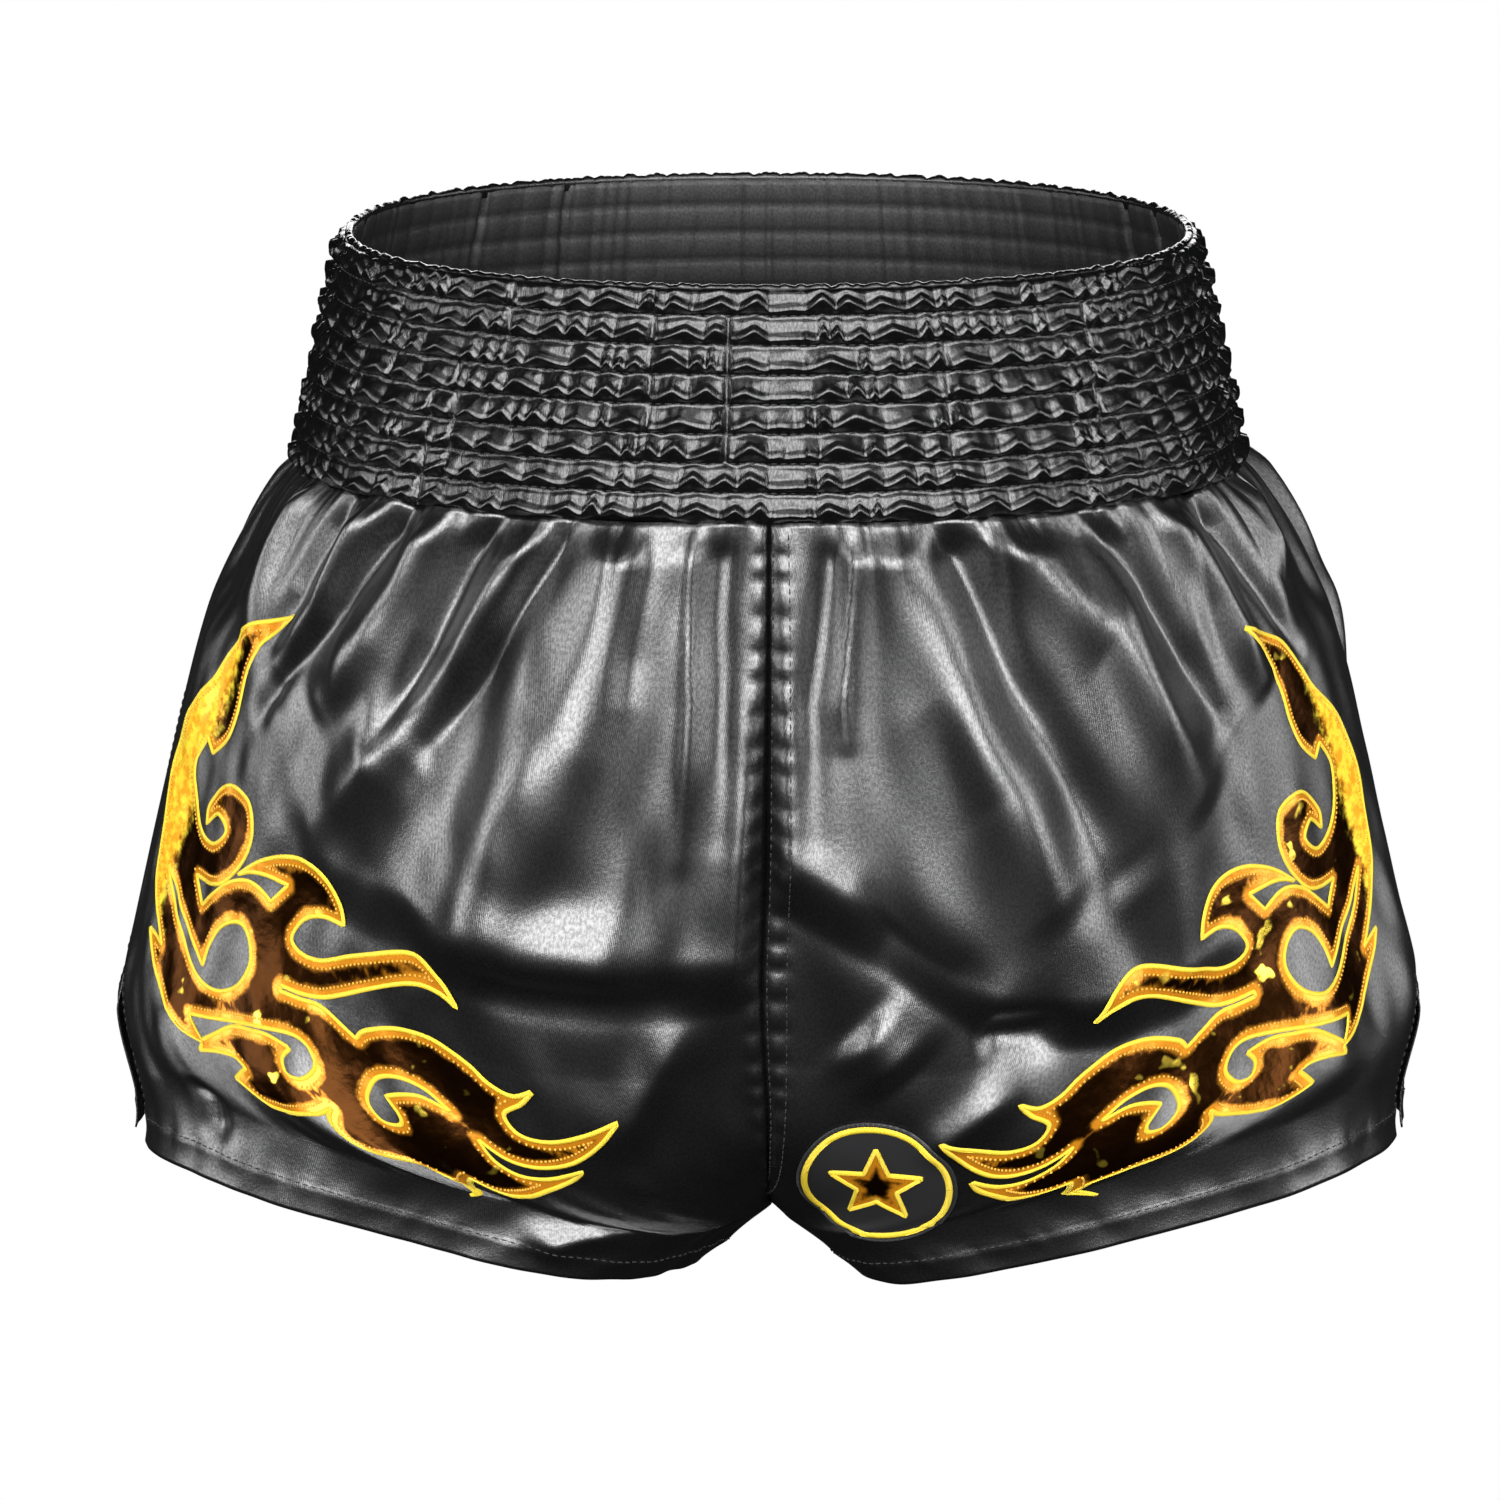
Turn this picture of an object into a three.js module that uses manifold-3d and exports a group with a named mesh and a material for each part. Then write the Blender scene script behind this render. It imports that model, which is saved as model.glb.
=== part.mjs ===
// Muay Thai boxing shorts: an elastic shirred waistband over four flared satin panels,
// with a foil flame on each leg. Millimetres, +Z up, +X to the wearer's left, the front faces -Y.
// Origin: under the middle of the shorts, at the height of the lowest hem.

import * as THREE from 'three';
import { mergeVertices } from 'three/addons/utils/BufferGeometryUtils.js';
import Module from 'manifold-3d';

// Driving dimensions, for shorts worn on a waist of about 83 cm
const WAIST_TOP = 371;            // height of the waistband's top edge
const WAIST_SEAM = 288;           // height of the seam between waistband and panels
const WAIST_HALF_WIDTH = 150;     // waist oval at the top edge
const WAIST_HALF_DEPTH = 110;
const SEAM_HALF_WIDTH = 168;      // waist oval at the waistband seam
const SEAM_HALF_DEPTH = 114;
const OVAL_POWER = 2.2;           // superellipse power of the horizontal sections
const HEM_POWER = 2.6;            // the leg openings are squarer
const CHANNELS = 8;               // shirred elastic channels in the waistband

const HIP_SPRING = 24;            // how far the gathers push the cloth out below the waistband
const SPRING_REACH = 0.1;
const SIDE_FLARE = 55;            // widening from waist seam to hem
const FRONT_TUCK = 22;            // the hem corners fall inward again
const BACK_TUCK = 17;
// From front to back the cloth swells out below the waist, then falls inward towards the hem
const FRONT_DEPTH = { swell: 4, swellEnd: 0.6, fall: 29, fallStart: 0.2 };
const BACK_DEPTH = { swell: 12, swellEnd: 0.8, fall: 22, fallStart: 0.3 };
const HEM_SIDE_HEIGHT = 40;       // hem height at the side vents, above the lowest hem
const CROTCH_HEIGHT = 20;
const CROTCH_ROW = 0.88;          // share of the panel's length where the crotch point lies
const SPLIT_ROW = 0.55;           // where the centre seam starts to curve under
const LEG_GAP_HALF = 23;          // half of the gap between the leg hems
const VENT_ROW = 0.75;            // top of the side vents

const CLOTH = 1.5;                // thickness of a hemmed panel
const SEAM_GAP = 0.2;             // from a panel's edge to the plane of its seam
const THREAD = 0.45;              // half thickness of a row of stitching
const THREAD_LIFT = 1.2;          // from the cloth's face to the thread's centre

const PANEL_WIDTH = 300;          // the panels' own flat millimetres: across from the side seam,
const PANEL_HEIGHT = 250;         // and up from the hem
const PANEL_COLUMNS = 16;
const RING_STEPS = 32;

const COLOURS = {
  satin: { color: 0x1a1a1c, roughness: 0.32, metalness: 0.0 },
  lining: { color: 0x3a3a3c, roughness: 0.7, metalness: 0.0 },
  thread: { color: 0x0c0c0d, roughness: 0.6, metalness: 0.0 },
  foil: { color: 0xc98a1e, roughness: 0.22, metalness: 0.9 },
  goldThread: { color: 0xffd92e, roughness: 0.5, metalness: 0.1 },
};

const smoothStep = (value, from, to) => THREE.MathUtils.smoothstep(value, from, to);
const clamp01 = (value) => THREE.MathUtils.clamp(value, 0, 1);

// A unit superellipse in the direction of an angle
function roundedSquare(angle, power) {
  const [across, along] = [Math.cos(angle), Math.sin(angle)];
  const reach = (Math.abs(across) ** power + Math.abs(along) ** power) ** (-1 / power);
  return { across: across * reach, along: along * reach };
}

// ---------------------------------------------------------------- the worn surface

function halfWidth(t, isFront) {
  const spring = HIP_SPRING * (1 - Math.exp(-t / SPRING_REACH));
  const tuck = isFront ? FRONT_TUCK * smoothStep(t, 0.72, 1) : BACK_TUCK * smoothStep(t, 0.78, 1);
  return SEAM_HALF_WIDTH + spring + SIDE_FLARE * t ** 0.95 - tuck;
}

function halfDepth(t, isFront) {
  const { swell, swellEnd, fall, fallStart } = isFront ? FRONT_DEPTH : BACK_DEPTH;
  const belly = swell * Math.sin(Math.PI * clamp01(t / swellEnd));
  return SEAM_HALF_DEPTH + belly - fall * smoothStep(t, fallStart, 1);
}

// A point of the right leg's panels: s runs from the side seam (0) to the centre seam or inseam (1),
// t from the waist seam (0) to the hem (1). Below SPLIT_ROW the section's oval moves off centre, so the
// centre seam curves under; below CROTCH_ROW it is one closed oval for each leg.
function clothPoint(s, t, isFront) {
  const width = halfWidth(t, isFront);
  const below = clamp01((t - CROTCH_ROW) / (1 - CROTCH_ROW));
  const end = (Math.PI / 2) * (1 - clamp01((t - SPLIT_ROW) / (CROTCH_ROW - SPLIT_ROW)) ** 1.6);
  const power = THREE.MathUtils.lerp(OVAL_POWER, HEM_POWER, smoothStep(t, SPLIT_ROW, 1));
  const endReach = roundedSquare(end, power).across;
  const centre = (width * endReach) / (1 + endReach) + (LEG_GAP_HALF * below) / 2;
  const legHalf = width - centre;
  const angle = Math.PI + s * (Math.PI - end);
  const sideHeight = THREE.MathUtils.lerp(WAIST_SEAM, HEM_SIDE_HEIGHT, t);
  const rise = (1 - clamp01(t / CROTCH_ROW)) ** 1.1;
  const middleHeight = t < CROTCH_ROW
    ? THREE.MathUtils.lerp(CROTCH_HEIGHT, WAIST_SEAM, rise)
    : CROTCH_HEIGHT * (1 - below);
  const oval = roundedSquare(angle, power);
  const x = -centre + legHalf * oval.across;
  const y = halfDepth(t, isFront) * Math.abs(oval.along);
  const z = THREE.MathUtils.lerp(sideHeight, middleHeight, smoothStep(s, 0.16, 0.85));
  return new THREE.Vector3(x, isFront ? -y : y, z);
}

function clothNormal(s, t, isFront) {
  const step = 0.002;
  const between = (from, to) => clothPoint(to.s, to.t, isFront).sub(clothPoint(from.s, from.t, isFront));
  const across = between({ s: Math.max(s - step, 0), t }, { s: Math.min(s + step, 1), t });
  const down = between({ s, t: Math.max(t - step, 0) }, { s, t: Math.min(t + step, 1) });
  const normal = isFront ? down.cross(across) : across.cross(down);
  return normal.normalize();
}

// The cloth point lifted off the face; below the face it is the panel's inner side, kept inside its seams
function liftedPoint(s, t, lift, isFront) {
  const normal = clothNormal(s, t, isFront);
  if (t === 1) {
    normal.z = 0;
    normal.normalize();
  }
  const point = clothPoint(s, t, isFront).addScaledVector(normal, lift);
  point.x = Math.min(point.x, 0) - SEAM_GAP;
  point.y = isFront ? Math.min(point.y, 0) - SEAM_GAP : Math.max(point.y, 0) + SEAM_GAP;
  return point;
}

// The s and t of the front or back panel's point at a given distance from the centre and height
function panelPlace(fromCentre, height, isFront) {
  let s = 0.85;
  let t = 1 - height / WAIST_SEAM;
  const step = 0.001;
  for (let turn = 0; turn < 12; turn += 1) {
    const here = clothPoint(s, t, isFront);
    const bySide = clothPoint(s + step, t, isFront).sub(here).divideScalar(step);
    const byDown = clothPoint(s, t + step, isFront).sub(here).divideScalar(step);
    const missX = -fromCentre - here.x;
    const missZ = height - here.z;
    const area = bySide.x * byDown.z - byDown.x * bySide.z;
    s = THREE.MathUtils.clamp(s + (missX * byDown.z - byDown.x * missZ) / area, 0.01, 0.99);
    t = THREE.MathUtils.clamp(t + (bySide.x * missZ - missX * bySide.z) / area, 0.01, 0.985);
  }
  return { s, t };
}

// ---------------------------------------------------------------- helpers for closed solids

const wasm = await Module();
wasm.setup();

function mergedOf(geometry) {
  const plain = geometry.clone();
  plain.deleteAttribute('normal');
  plain.deleteAttribute('uv');
  return mergeVertices(plain, 1e-4);
}

function volumeOf(geometry) {
  const position = geometry.getAttribute('position');
  const index = geometry.getIndex();
  const [a, b, c] = [new THREE.Vector3(), new THREE.Vector3(), new THREE.Vector3()];
  let volume = 0;
  for (let corner = 0; corner < index.count; corner += 3) {
    a.fromBufferAttribute(position, index.getX(corner));
    b.fromBufferAttribute(position, index.getX(corner + 1));
    c.fromBufferAttribute(position, index.getX(corner + 2));
    volume += a.dot(b.cross(c)) / 6;
  }
  return volume;
}

// Merges the corners, drops collapsed triangles and turns the faces outward
function closedSolid(geometry) {
  const merged = mergedOf(geometry);
  const index = Array.from(merged.getIndex().array);
  const kept = [];
  for (let corner = 0; corner < index.length; corner += 3) {
    const [a, b, c] = index.slice(corner, corner + 3);
    if (a !== b && b !== c && c !== a) {
      kept.push(a, b, c);
    }
  }
  merged.setIndex(kept);
  if (volumeOf(merged) < 0) {
    merged.setIndex(kept.reverse());
  }
  merged.computeVertexNormals();
  return merged;
}

function bend(geometry, place) {
  const bent = mergedOf(geometry);
  const position = bent.getAttribute('position');
  for (let vertex = 0; vertex < position.count; vertex += 1) {
    const moved = place(position.getX(vertex), position.getY(vertex), position.getZ(vertex));
    position.setXYZ(vertex, moved.x, moved.y, moved.z);
  }
  return bent;
}

function manifoldOf(geometry) {
  const solid = closedSolid(geometry);
  return new wasm.Manifold(new wasm.Mesh({
    numProp: 3,
    vertProperties: new Float32Array(solid.getAttribute('position').array),
    triVerts: new Uint32Array(solid.getIndex().array),
  }));
}

function geometryOf(manifold) {
  const mesh = manifold.getMesh();
  const geometry = new THREE.BufferGeometry();
  geometry.setAttribute('position', new THREE.BufferAttribute(new Float32Array(mesh.vertProperties), 3));
  geometry.setIndex(Array.from(mesh.triVerts));
  return geometry;
}

function mirrored(geometry) {
  return closedSolid(geometry.clone().scale(-1, 1, 1));
}

const group = new THREE.Group();

function add(name, geometry, look) {
  const mesh = new THREE.Mesh(closedSolid(geometry), new THREE.MeshStandardMaterial(COLOURS[look]));
  mesh.name = name;
  group.add(mesh);
}

// ---------------------------------------------------------------- waistband

const channelHeight = (WAIST_TOP - WAIST_SEAM) / CHANNELS;

// A ring around the waist: its closed profile is a list of [distance outside the waist oval, height]
function waistRing(profile) {
  const turned = profile.map(([out, height]) => new THREE.Vector2(SEAM_HALF_WIDTH + out, height));
  const lathe = new THREE.LatheGeometry([...turned, turned[0].clone()], RING_STEPS);
  return bend(lathe, (x, height, z) => {
    const angle = Math.atan2(z, x);
    const out = Math.hypot(x, z) - SEAM_HALF_WIDTH;
    const narrowing = (height - WAIST_SEAM) / (WAIST_TOP - WAIST_SEAM);
    const width = THREE.MathUtils.lerp(SEAM_HALF_WIDTH, WAIST_HALF_WIDTH, narrowing);
    const depth = THREE.MathUtils.lerp(SEAM_HALF_DEPTH, WAIST_HALF_DEPTH, narrowing);
    const oval = roundedSquare(angle, OVAL_POWER);
    return new THREE.Vector3((width + out) * oval.across, (depth + out) * oval.along, height);
  });
}

const CASING_OUT = 2.2;           // outer face at a stitch line between two channels
const CHANNEL_PUFF = 1.6;         // how far a channel bulges beyond that
const CASING_IN = 2.0;            // inner face
const POCKET = 0.8;               // half width of the space for the elastics
const ELASTIC = 0.45;             // half thickness of an elastic

function casingGeometry() {
  const outer = [[CASING_OUT, WAIST_SEAM]];
  for (let channel = 0; channel < CHANNELS; channel += 1) {
    const foot = WAIST_SEAM + channel * channelHeight;
    outer.push([CASING_OUT + CHANNEL_PUFF, foot + channelHeight / 2]);
    if (channel < CHANNELS - 1) {
      outer.push([CASING_OUT, foot + channelHeight]);
    }
  }
  const inner = [
    [0, WAIST_TOP],
    [-CASING_IN, WAIST_TOP - 3],
    [-CASING_IN, WAIST_SEAM],
    [-POCKET, WAIST_SEAM],
    [-POCKET, WAIST_TOP - 3],
    [POCKET, WAIST_TOP - 3],
    [POCKET, WAIST_SEAM],
  ];
  return waistRing([...outer, ...inner]);
}

function elasticGeometry(channel) {
  const foot = WAIST_SEAM + channel * channelHeight + 1.2;
  const head = WAIST_SEAM + (channel + 1) * channelHeight - (channel === CHANNELS - 1 ? 3.5 : 1.2);
  return waistRing([[-ELASTIC, foot], [ELASTIC, foot], [ELASTIC, head], [-ELASTIC, head]]);
}

function shirringGeometry(line) {
  const height = WAIST_SEAM + line * channelHeight;
  return waistRing([
    [CASING_OUT + 0.35, height],
    [CASING_OUT + 1.1, height - 0.5],
    [CASING_OUT + 1.1, height + 0.5],
  ]);
}

add('waistband_casing', casingGeometry(), 'satin');
for (let channel = 0; channel < CHANNELS; channel += 1) {
  add(`elastic_band_${channel + 1}`, elasticGeometry(channel), 'lining');
}
for (let line = 1; line < CHANNELS; line += 1) {
  add(`shirring_thread_${line}`, shirringGeometry(line), 'thread');
}

// ---------------------------------------------------------------- panels

const ROWS_TO_CROTCH = 10;
const ROWS_BELOW = 2;
const PANEL_ROWS = ROWS_TO_CROTCH + ROWS_BELOW;

// Rows are evenly spaced down to the crotch point, and again from there to the hem
function rowShare(row) {
  return row <= ROWS_TO_CROTCH
    ? (CROTCH_ROW * row) / ROWS_TO_CROTCH
    : CROTCH_ROW + ((1 - CROTCH_ROW) * (row - ROWS_TO_CROTCH)) / ROWS_BELOW;
}

// A grid one unit thick over the whole flat panel, in flat millimetres
function flatGrid() {
  const box = new THREE.BoxGeometry(1, 1, 1, PANEL_COLUMNS, PANEL_ROWS, 1);
  return bend(box, (x, y, z) => {
    const row = Math.round((0.5 - y) * PANEL_ROWS);
    return new THREE.Vector3((x + 0.5) * PANEL_WIDTH, (1 - rowShare(row)) * PANEL_HEIGHT, z);
  });
}

function panelGeometry(isFront) {
  return bend(flatGrid(), (across, up, face) => {
    const lift = face < 0 ? -CLOTH : 0;
    const t = clamp01(1 - up / PANEL_HEIGHT);
    const point = liftedPoint(across / PANEL_WIDTH, t, lift, isFront);
    point.z = Math.min(point.z, WAIST_SEAM - 0.4);
    return point;
  });
}

for (const isFront of [true, false]) {
  const name = isFront ? 'front_panel' : 'back_panel';
  const panel = panelGeometry(isFront);
  add(`${name}_right`, panel, 'satin');
  add(`${name}_left`, mirrored(panel), 'satin');
}

// ---------------------------------------------------------------- flame appliques

// The flame's outline in flat millimetres [across, up]. Each stroke is one smooth stretch from the
// last point of the stroke before it, so corners lie only between strokes.
const FLAME_START = [101, 210];
const FLAME_STROKES = [
  [[96, 206], [87, 198], [81, 186], [80, 173], [76, 163], [67, 155]],
  [[61, 159]],
  [[55, 149], [59, 138], [69, 128], [82, 126], [90, 133], [82, 137], [74, 131]],
  [[73, 138], [84, 148], [100, 147], [106, 138], [104, 127], [96, 117], [86, 113], [74, 112]],
  [[83, 104]],
  [[90, 110], [98, 117], [106, 121], [114, 122], [123, 120]],
  [[129, 128]],
  [[117, 127], [109, 125], [103, 122]],
  [[110, 128], [118, 133], [128, 137], [138, 138], [147, 136], [153, 131], [156, 125]],
  [[146, 124], [139, 120], [136, 113], [141, 110], [150, 111], [161, 117], [176, 124], [186, 126], [196, 122],
    [203, 115]],
  [[196, 118], [187, 118], [177, 114], [160, 104], [152, 100], [144, 98], [135, 97]],
  [[134, 95]],
  [[143, 96], [151, 97], [158, 95], [165, 92]],
  [[169, 96], [181, 101], [194, 102], [205, 98], [212, 93], [219, 91], [226, 94]],
  [[221, 89], [214, 84], [217, 78], [226, 77], [238, 81], [251, 87]],
  [[244, 79], [237, 73], [228, 68], [219, 66], [210, 67], [202, 72]],
  [[205, 65], [212, 61], [223, 62], [235, 67]],
  [[229, 62], [217, 56], [204, 50], [194, 48], [187, 51]],
  [[156, 28]],
  [[167, 40], [168, 43], [160, 45], [149, 44], [143, 47], [143, 55], [148, 62]],
  [[141, 57], [132, 53], [122, 49], [113, 47], [101, 50]],
  [[112, 59]],
  [[107, 60], [98, 58], [86, 54]],
  [[89, 58]],
  [[79, 59], [72, 62], [65, 66], [56, 72], [48, 78], [43, 84]],
  [[57, 81]],
  [[50, 87], [41, 96], [34, 106], [31, 122], [28, 140], [37, 161], [55, 179], [67, 196], [79, 203], [91, 207],
    [101, 210]],
];
const FLAME_HOLES = [
  {
    start: [48, 108],
    strokes: [
      [[57, 103], [67, 97], [78, 92], [90, 86]],
      [[93, 94], [99, 102], [108, 107], [115, 105], [118, 98], [114, 90], [107, 84], [97, 80], [85, 82],
        [72, 89], [58, 98], [48, 108]],
    ],
  },
  {
    start: [195, 79],
    strokes: [
      [[188, 84], [179, 85], [171, 82], [166, 76], [164, 70], [167, 65], [173, 66], [175, 70], [172, 76]],
      [[178, 79], [186, 81], [195, 79]],
    ],
  },
  {
    start: [84, 67],
    strokes: [
      [[89, 59]],
      [[98, 65], [107, 71], [118, 75], [128, 78], [138, 78]],
      [[134, 73], [135, 68], [141, 69], [147, 76], [145, 82], [138, 83], [124, 79], [110, 74], [97, 70],
        [84, 67]],
    ],
  },
];

// The two flames are sewn on by hand: the left one sits a little lower towards the centre
const rightLeg = ([across, up]) => new THREE.Vector2(across, up);
const leftLeg = ([across, up]) => new THREE.Vector2(0.93 * across + 0.08 * up + 1, up - 0.05 * across + 4);

function outlinePoints(start, strokes, onLeg) {
  const points = [];
  let from = onLeg(start);
  for (const stroke of strokes) {
    const curve = new THREE.SplineCurve([from, ...stroke.map(onLeg)]);
    points.push(...curve.getPoints(stroke.length).slice(0, -1));
    from = onLeg(stroke.at(-1));
  }
  return points;
}

const FOIL_LIFT = 2.0;            // underside of the foil above the cloth's face
const FOIL_THICK = 0.8;

// The outline's strokes run clockwise; an extrusion with holes needs the outer one anticlockwise
function flameShape(onLeg) {
  const shape = new THREE.Shape(outlinePoints(FLAME_START, FLAME_STROKES, onLeg).reverse());
  shape.holes = FLAME_HOLES.map(({ start, strokes }) => new THREE.Path(outlinePoints(start, strokes, onLeg)));
  return shape;
}

// A point above the front panel's facets, from its flat place: each grid cell is two flat triangles,
// parted by the line from its lower left to its upper right corner
function facetPoint(across, up, lift) {
  const t = clamp01(1 - up / PANEL_HEIGHT);
  const column = Math.min(Math.floor((across / PANEL_WIDTH) * PANEL_COLUMNS), PANEL_COLUMNS - 1);
  let row = 0;
  while (row < PANEL_ROWS - 1 && rowShare(row + 1) < t) {
    row += 1;
  }
  const right = (across / PANEL_WIDTH) * PANEL_COLUMNS - column;
  const down = (t - rowShare(row)) / (rowShare(row + 1) - rowShare(row));
  const corner = (addColumn, addRow) => (
    liftedPoint((column + addColumn) / PANEL_COLUMNS, rowShare(row + addRow), lift, true)
  );
  const [lowerLeft, upperRight] = [corner(0, 1), corner(1, 0)];
  if (right + down <= 1) {
    return corner(0, 0).multiplyScalar(1 - right - down)
      .addScaledVector(upperRight, right).addScaledVector(lowerLeft, down);
  }
  return corner(1, 1).multiplyScalar(right + down - 1)
    .addScaledVector(lowerLeft, 1 - right).addScaledVector(upperRight, 1 - down);
}

// The flame is cut from the flat panel's own grid, so its facets follow the panel's facets. The grid is
// domed a little while it is cut, which keeps its inner corners.
function flameGeometry(onLeg) {
  const dome = (across, up) => ((across - 150) ** 2 + (up - 125) ** 2) / 4000;
  const domed = bend(flatGrid(), (across, up, face) => (
    new THREE.Vector3(across, up, face + dome(across, up))
  ));
  const cutter = new THREE.ExtrudeGeometry(flameShape(onLeg), { depth: 60, bevelEnabled: false });
  cutter.translate(0, 0, -30);
  const cut = geometryOf(manifoldOf(domed).intersect(manifoldOf(cutter)));
  return bend(cut, (across, up, height) => {
    const face = height - dome(across, up);
    const lift = face > 0 ? FOIL_LIFT + FOIL_THICK : FOIL_LIFT;
    return facetPoint(across, up, lift);
  });
}

add('flame_applique_right', flameGeometry(rightLeg), 'foil');
add('flame_applique_left', mirrored(flameGeometry(leftLeg)), 'foil');

// ---------------------------------------------------------------- round badge on the left leg

const BADGE_FROM_CENTRE = 41;
const BADGE_HEIGHT = 49;
const BADGE_RING = [23.5, 26.5];
const BADGE_RADII = [0, 9, 18, ...BADGE_RING, 27.5];
const BADGE_STEPS = 24;

// Lays a geometry drawn in a flat upright plane on the left front panel, its z being the lift
function onLeftFront(geometry) {
  const laid = bend(geometry, (x, z, lift) => {
    const { s, t } = panelPlace(BADGE_FROM_CENTRE - x, BADGE_HEIGHT + z, true);
    return liftedPoint(s, t, lift, true);
  });
  return mirrored(laid);
}

function roundPiece(radii, foot, head) {
  const lower = radii.map((radius) => new THREE.Vector2(radius, foot));
  const upper = radii.map((radius) => new THREE.Vector2(radius, head)).reverse();
  const closing = radii[0] > 0 ? [lower[0].clone()] : [];
  return new THREE.LatheGeometry([...lower, ...upper, ...closing], BADGE_STEPS).rotateX(Math.PI / 2);
}

function starGeometry(outerRadius, innerRadius, thickness) {
  const shape = new THREE.Shape();
  for (let corner = 0; corner < 10; corner += 1) {
    const radius = corner % 2 === 0 ? outerRadius : innerRadius;
    const angle = Math.PI / 2 + (corner * Math.PI) / 5;
    const [x, y] = [radius * Math.cos(angle), radius * Math.sin(angle)];
    if (corner === 0) {
      shape.moveTo(x, y);
    } else {
      shape.lineTo(x, y);
    }
  }
  return new THREE.ExtrudeGeometry(shape, { depth: thickness, bevelEnabled: false });
}

add('badge_patch', onLeftFront(roundPiece(BADGE_RADII, 1.6, 2.2)), 'satin');
add('badge_ring', onLeftFront(roundPiece(BADGE_RING, 2.6, 3.3)), 'goldThread');
add('badge_star', onLeftFront(starGeometry(18, 7.5, 0.8).translate(0, 0, 3.1)), 'goldThread');

// ---------------------------------------------------------------- rows of topstitching

function threadGeometry(points) {
  const section = new THREE.Shape([
    new THREE.Vector2(-THREAD, -THREAD),
    new THREE.Vector2(THREAD, -THREAD),
    new THREE.Vector2(THREAD, THREAD),
    new THREE.Vector2(-THREAD, THREAD),
  ]);
  const path = new THREE.CatmullRomCurve3(points, false, 'centripetal');
  const steps = points.length * 2;
  return new THREE.ExtrudeGeometry(section, { steps, extrudePath: path, bevelEnabled: false });
}

function spread(count, from, to) {
  return Array.from({ length: count }, (_, step) => from + ((to - from) * step) / (count - 1));
}

// A stitch row down the cloth at one s, or along it at one t
function threadAlong(places, isFront) {
  return threadGeometry(places.map(({ s, t }) => liftedPoint(s, t, THREAD_LIFT, isFront)));
}

const RISE_ROWS = { inner: 1.6, outer: 7.5 };   // distance of the two rise rows from the centre seam
const VENT_STITCH = 0.055;
const HEM_STITCH = 0.955;

for (const isFront of [true, false]) {
  const face = isFront ? 'front' : 'back';
  for (const [row, fromCentre] of Object.entries(RISE_ROWS)) {
    const places = spread(9, WAIST_SEAM - 5, 75).map((height) => panelPlace(fromCentre, height, isFront));
    add(`rise_thread_${face}_${row}`, mirrored(threadAlong(places, isFront)), 'thread');
  }
  const hem = threadAlong(spread(14, 0.1, 0.93).map((s) => ({ s, t: HEM_STITCH })), isFront);
  const ventRows = spread(5, VENT_ROW, HEM_STITCH - 0.02);
  const vent = threadAlong(ventRows.map((t) => ({ s: VENT_STITCH, t })), isFront);
  add(`hem_thread_${face}_right`, hem, 'thread');
  add(`hem_thread_${face}_left`, mirrored(hem), 'thread');
  add(`vent_thread_${face}_right`, vent, 'thread');
  add(`vent_thread_${face}_left`, mirrored(vent), 'thread');
}

const sideSeam = threadAlong(spread(9, 0.03, VENT_ROW - 0.03).map((t) => ({ s: 0.02, t })), false);
add('side_seam_thread_right', sideSeam, 'thread');
add('side_seam_thread_left', mirrored(sideSeam), 'thread');

// The origin lies under the middle of the whole, from front to back
const extent = new THREE.Box3().setFromObject(group);
group.position.y = -(extent.min.y + extent.max.y) / 2;

export default group;
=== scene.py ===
# %% [markdown]
# # Muay Thai boxing shorts
# Short, wide shorts of black satin. A tall waistband is shirred over eight elastics, the two leg tubes
# flare out from it in soft folds, and a flame of gold foil is sewn on each leg. The cells below make one
# piece or one finish each, on the frame that holds the sizes and the places.

# %% Load the frame
import math

import bmesh
import bpy
import numpy as np
from mathutils import Matrix, Vector
from mathutils.kdtree import KDTree


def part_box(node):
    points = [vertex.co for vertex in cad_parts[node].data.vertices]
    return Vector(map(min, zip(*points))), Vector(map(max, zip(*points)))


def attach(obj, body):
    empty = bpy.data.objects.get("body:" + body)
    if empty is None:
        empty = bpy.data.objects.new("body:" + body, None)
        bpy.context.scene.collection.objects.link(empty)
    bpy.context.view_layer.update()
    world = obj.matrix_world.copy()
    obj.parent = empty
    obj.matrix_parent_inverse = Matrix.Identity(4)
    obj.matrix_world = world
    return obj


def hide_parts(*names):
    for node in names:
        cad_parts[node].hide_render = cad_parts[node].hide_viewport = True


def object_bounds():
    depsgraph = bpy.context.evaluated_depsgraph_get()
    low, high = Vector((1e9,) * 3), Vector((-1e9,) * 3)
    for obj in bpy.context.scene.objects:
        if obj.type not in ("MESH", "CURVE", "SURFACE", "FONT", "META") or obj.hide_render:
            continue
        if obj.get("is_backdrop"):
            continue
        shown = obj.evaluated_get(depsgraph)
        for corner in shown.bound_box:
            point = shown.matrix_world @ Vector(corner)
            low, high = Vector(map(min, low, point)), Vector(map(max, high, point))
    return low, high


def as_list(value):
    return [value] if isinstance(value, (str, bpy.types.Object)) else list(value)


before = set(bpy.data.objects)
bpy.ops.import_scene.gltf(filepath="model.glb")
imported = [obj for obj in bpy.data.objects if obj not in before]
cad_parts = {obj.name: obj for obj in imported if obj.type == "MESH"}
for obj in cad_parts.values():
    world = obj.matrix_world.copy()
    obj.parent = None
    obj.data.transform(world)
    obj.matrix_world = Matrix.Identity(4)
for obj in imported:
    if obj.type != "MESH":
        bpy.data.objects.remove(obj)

cad_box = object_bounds()
MM = 0.001
print("frame box, metres:", [[round(value, 4) for value in corner] for corner in cad_box])

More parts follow.
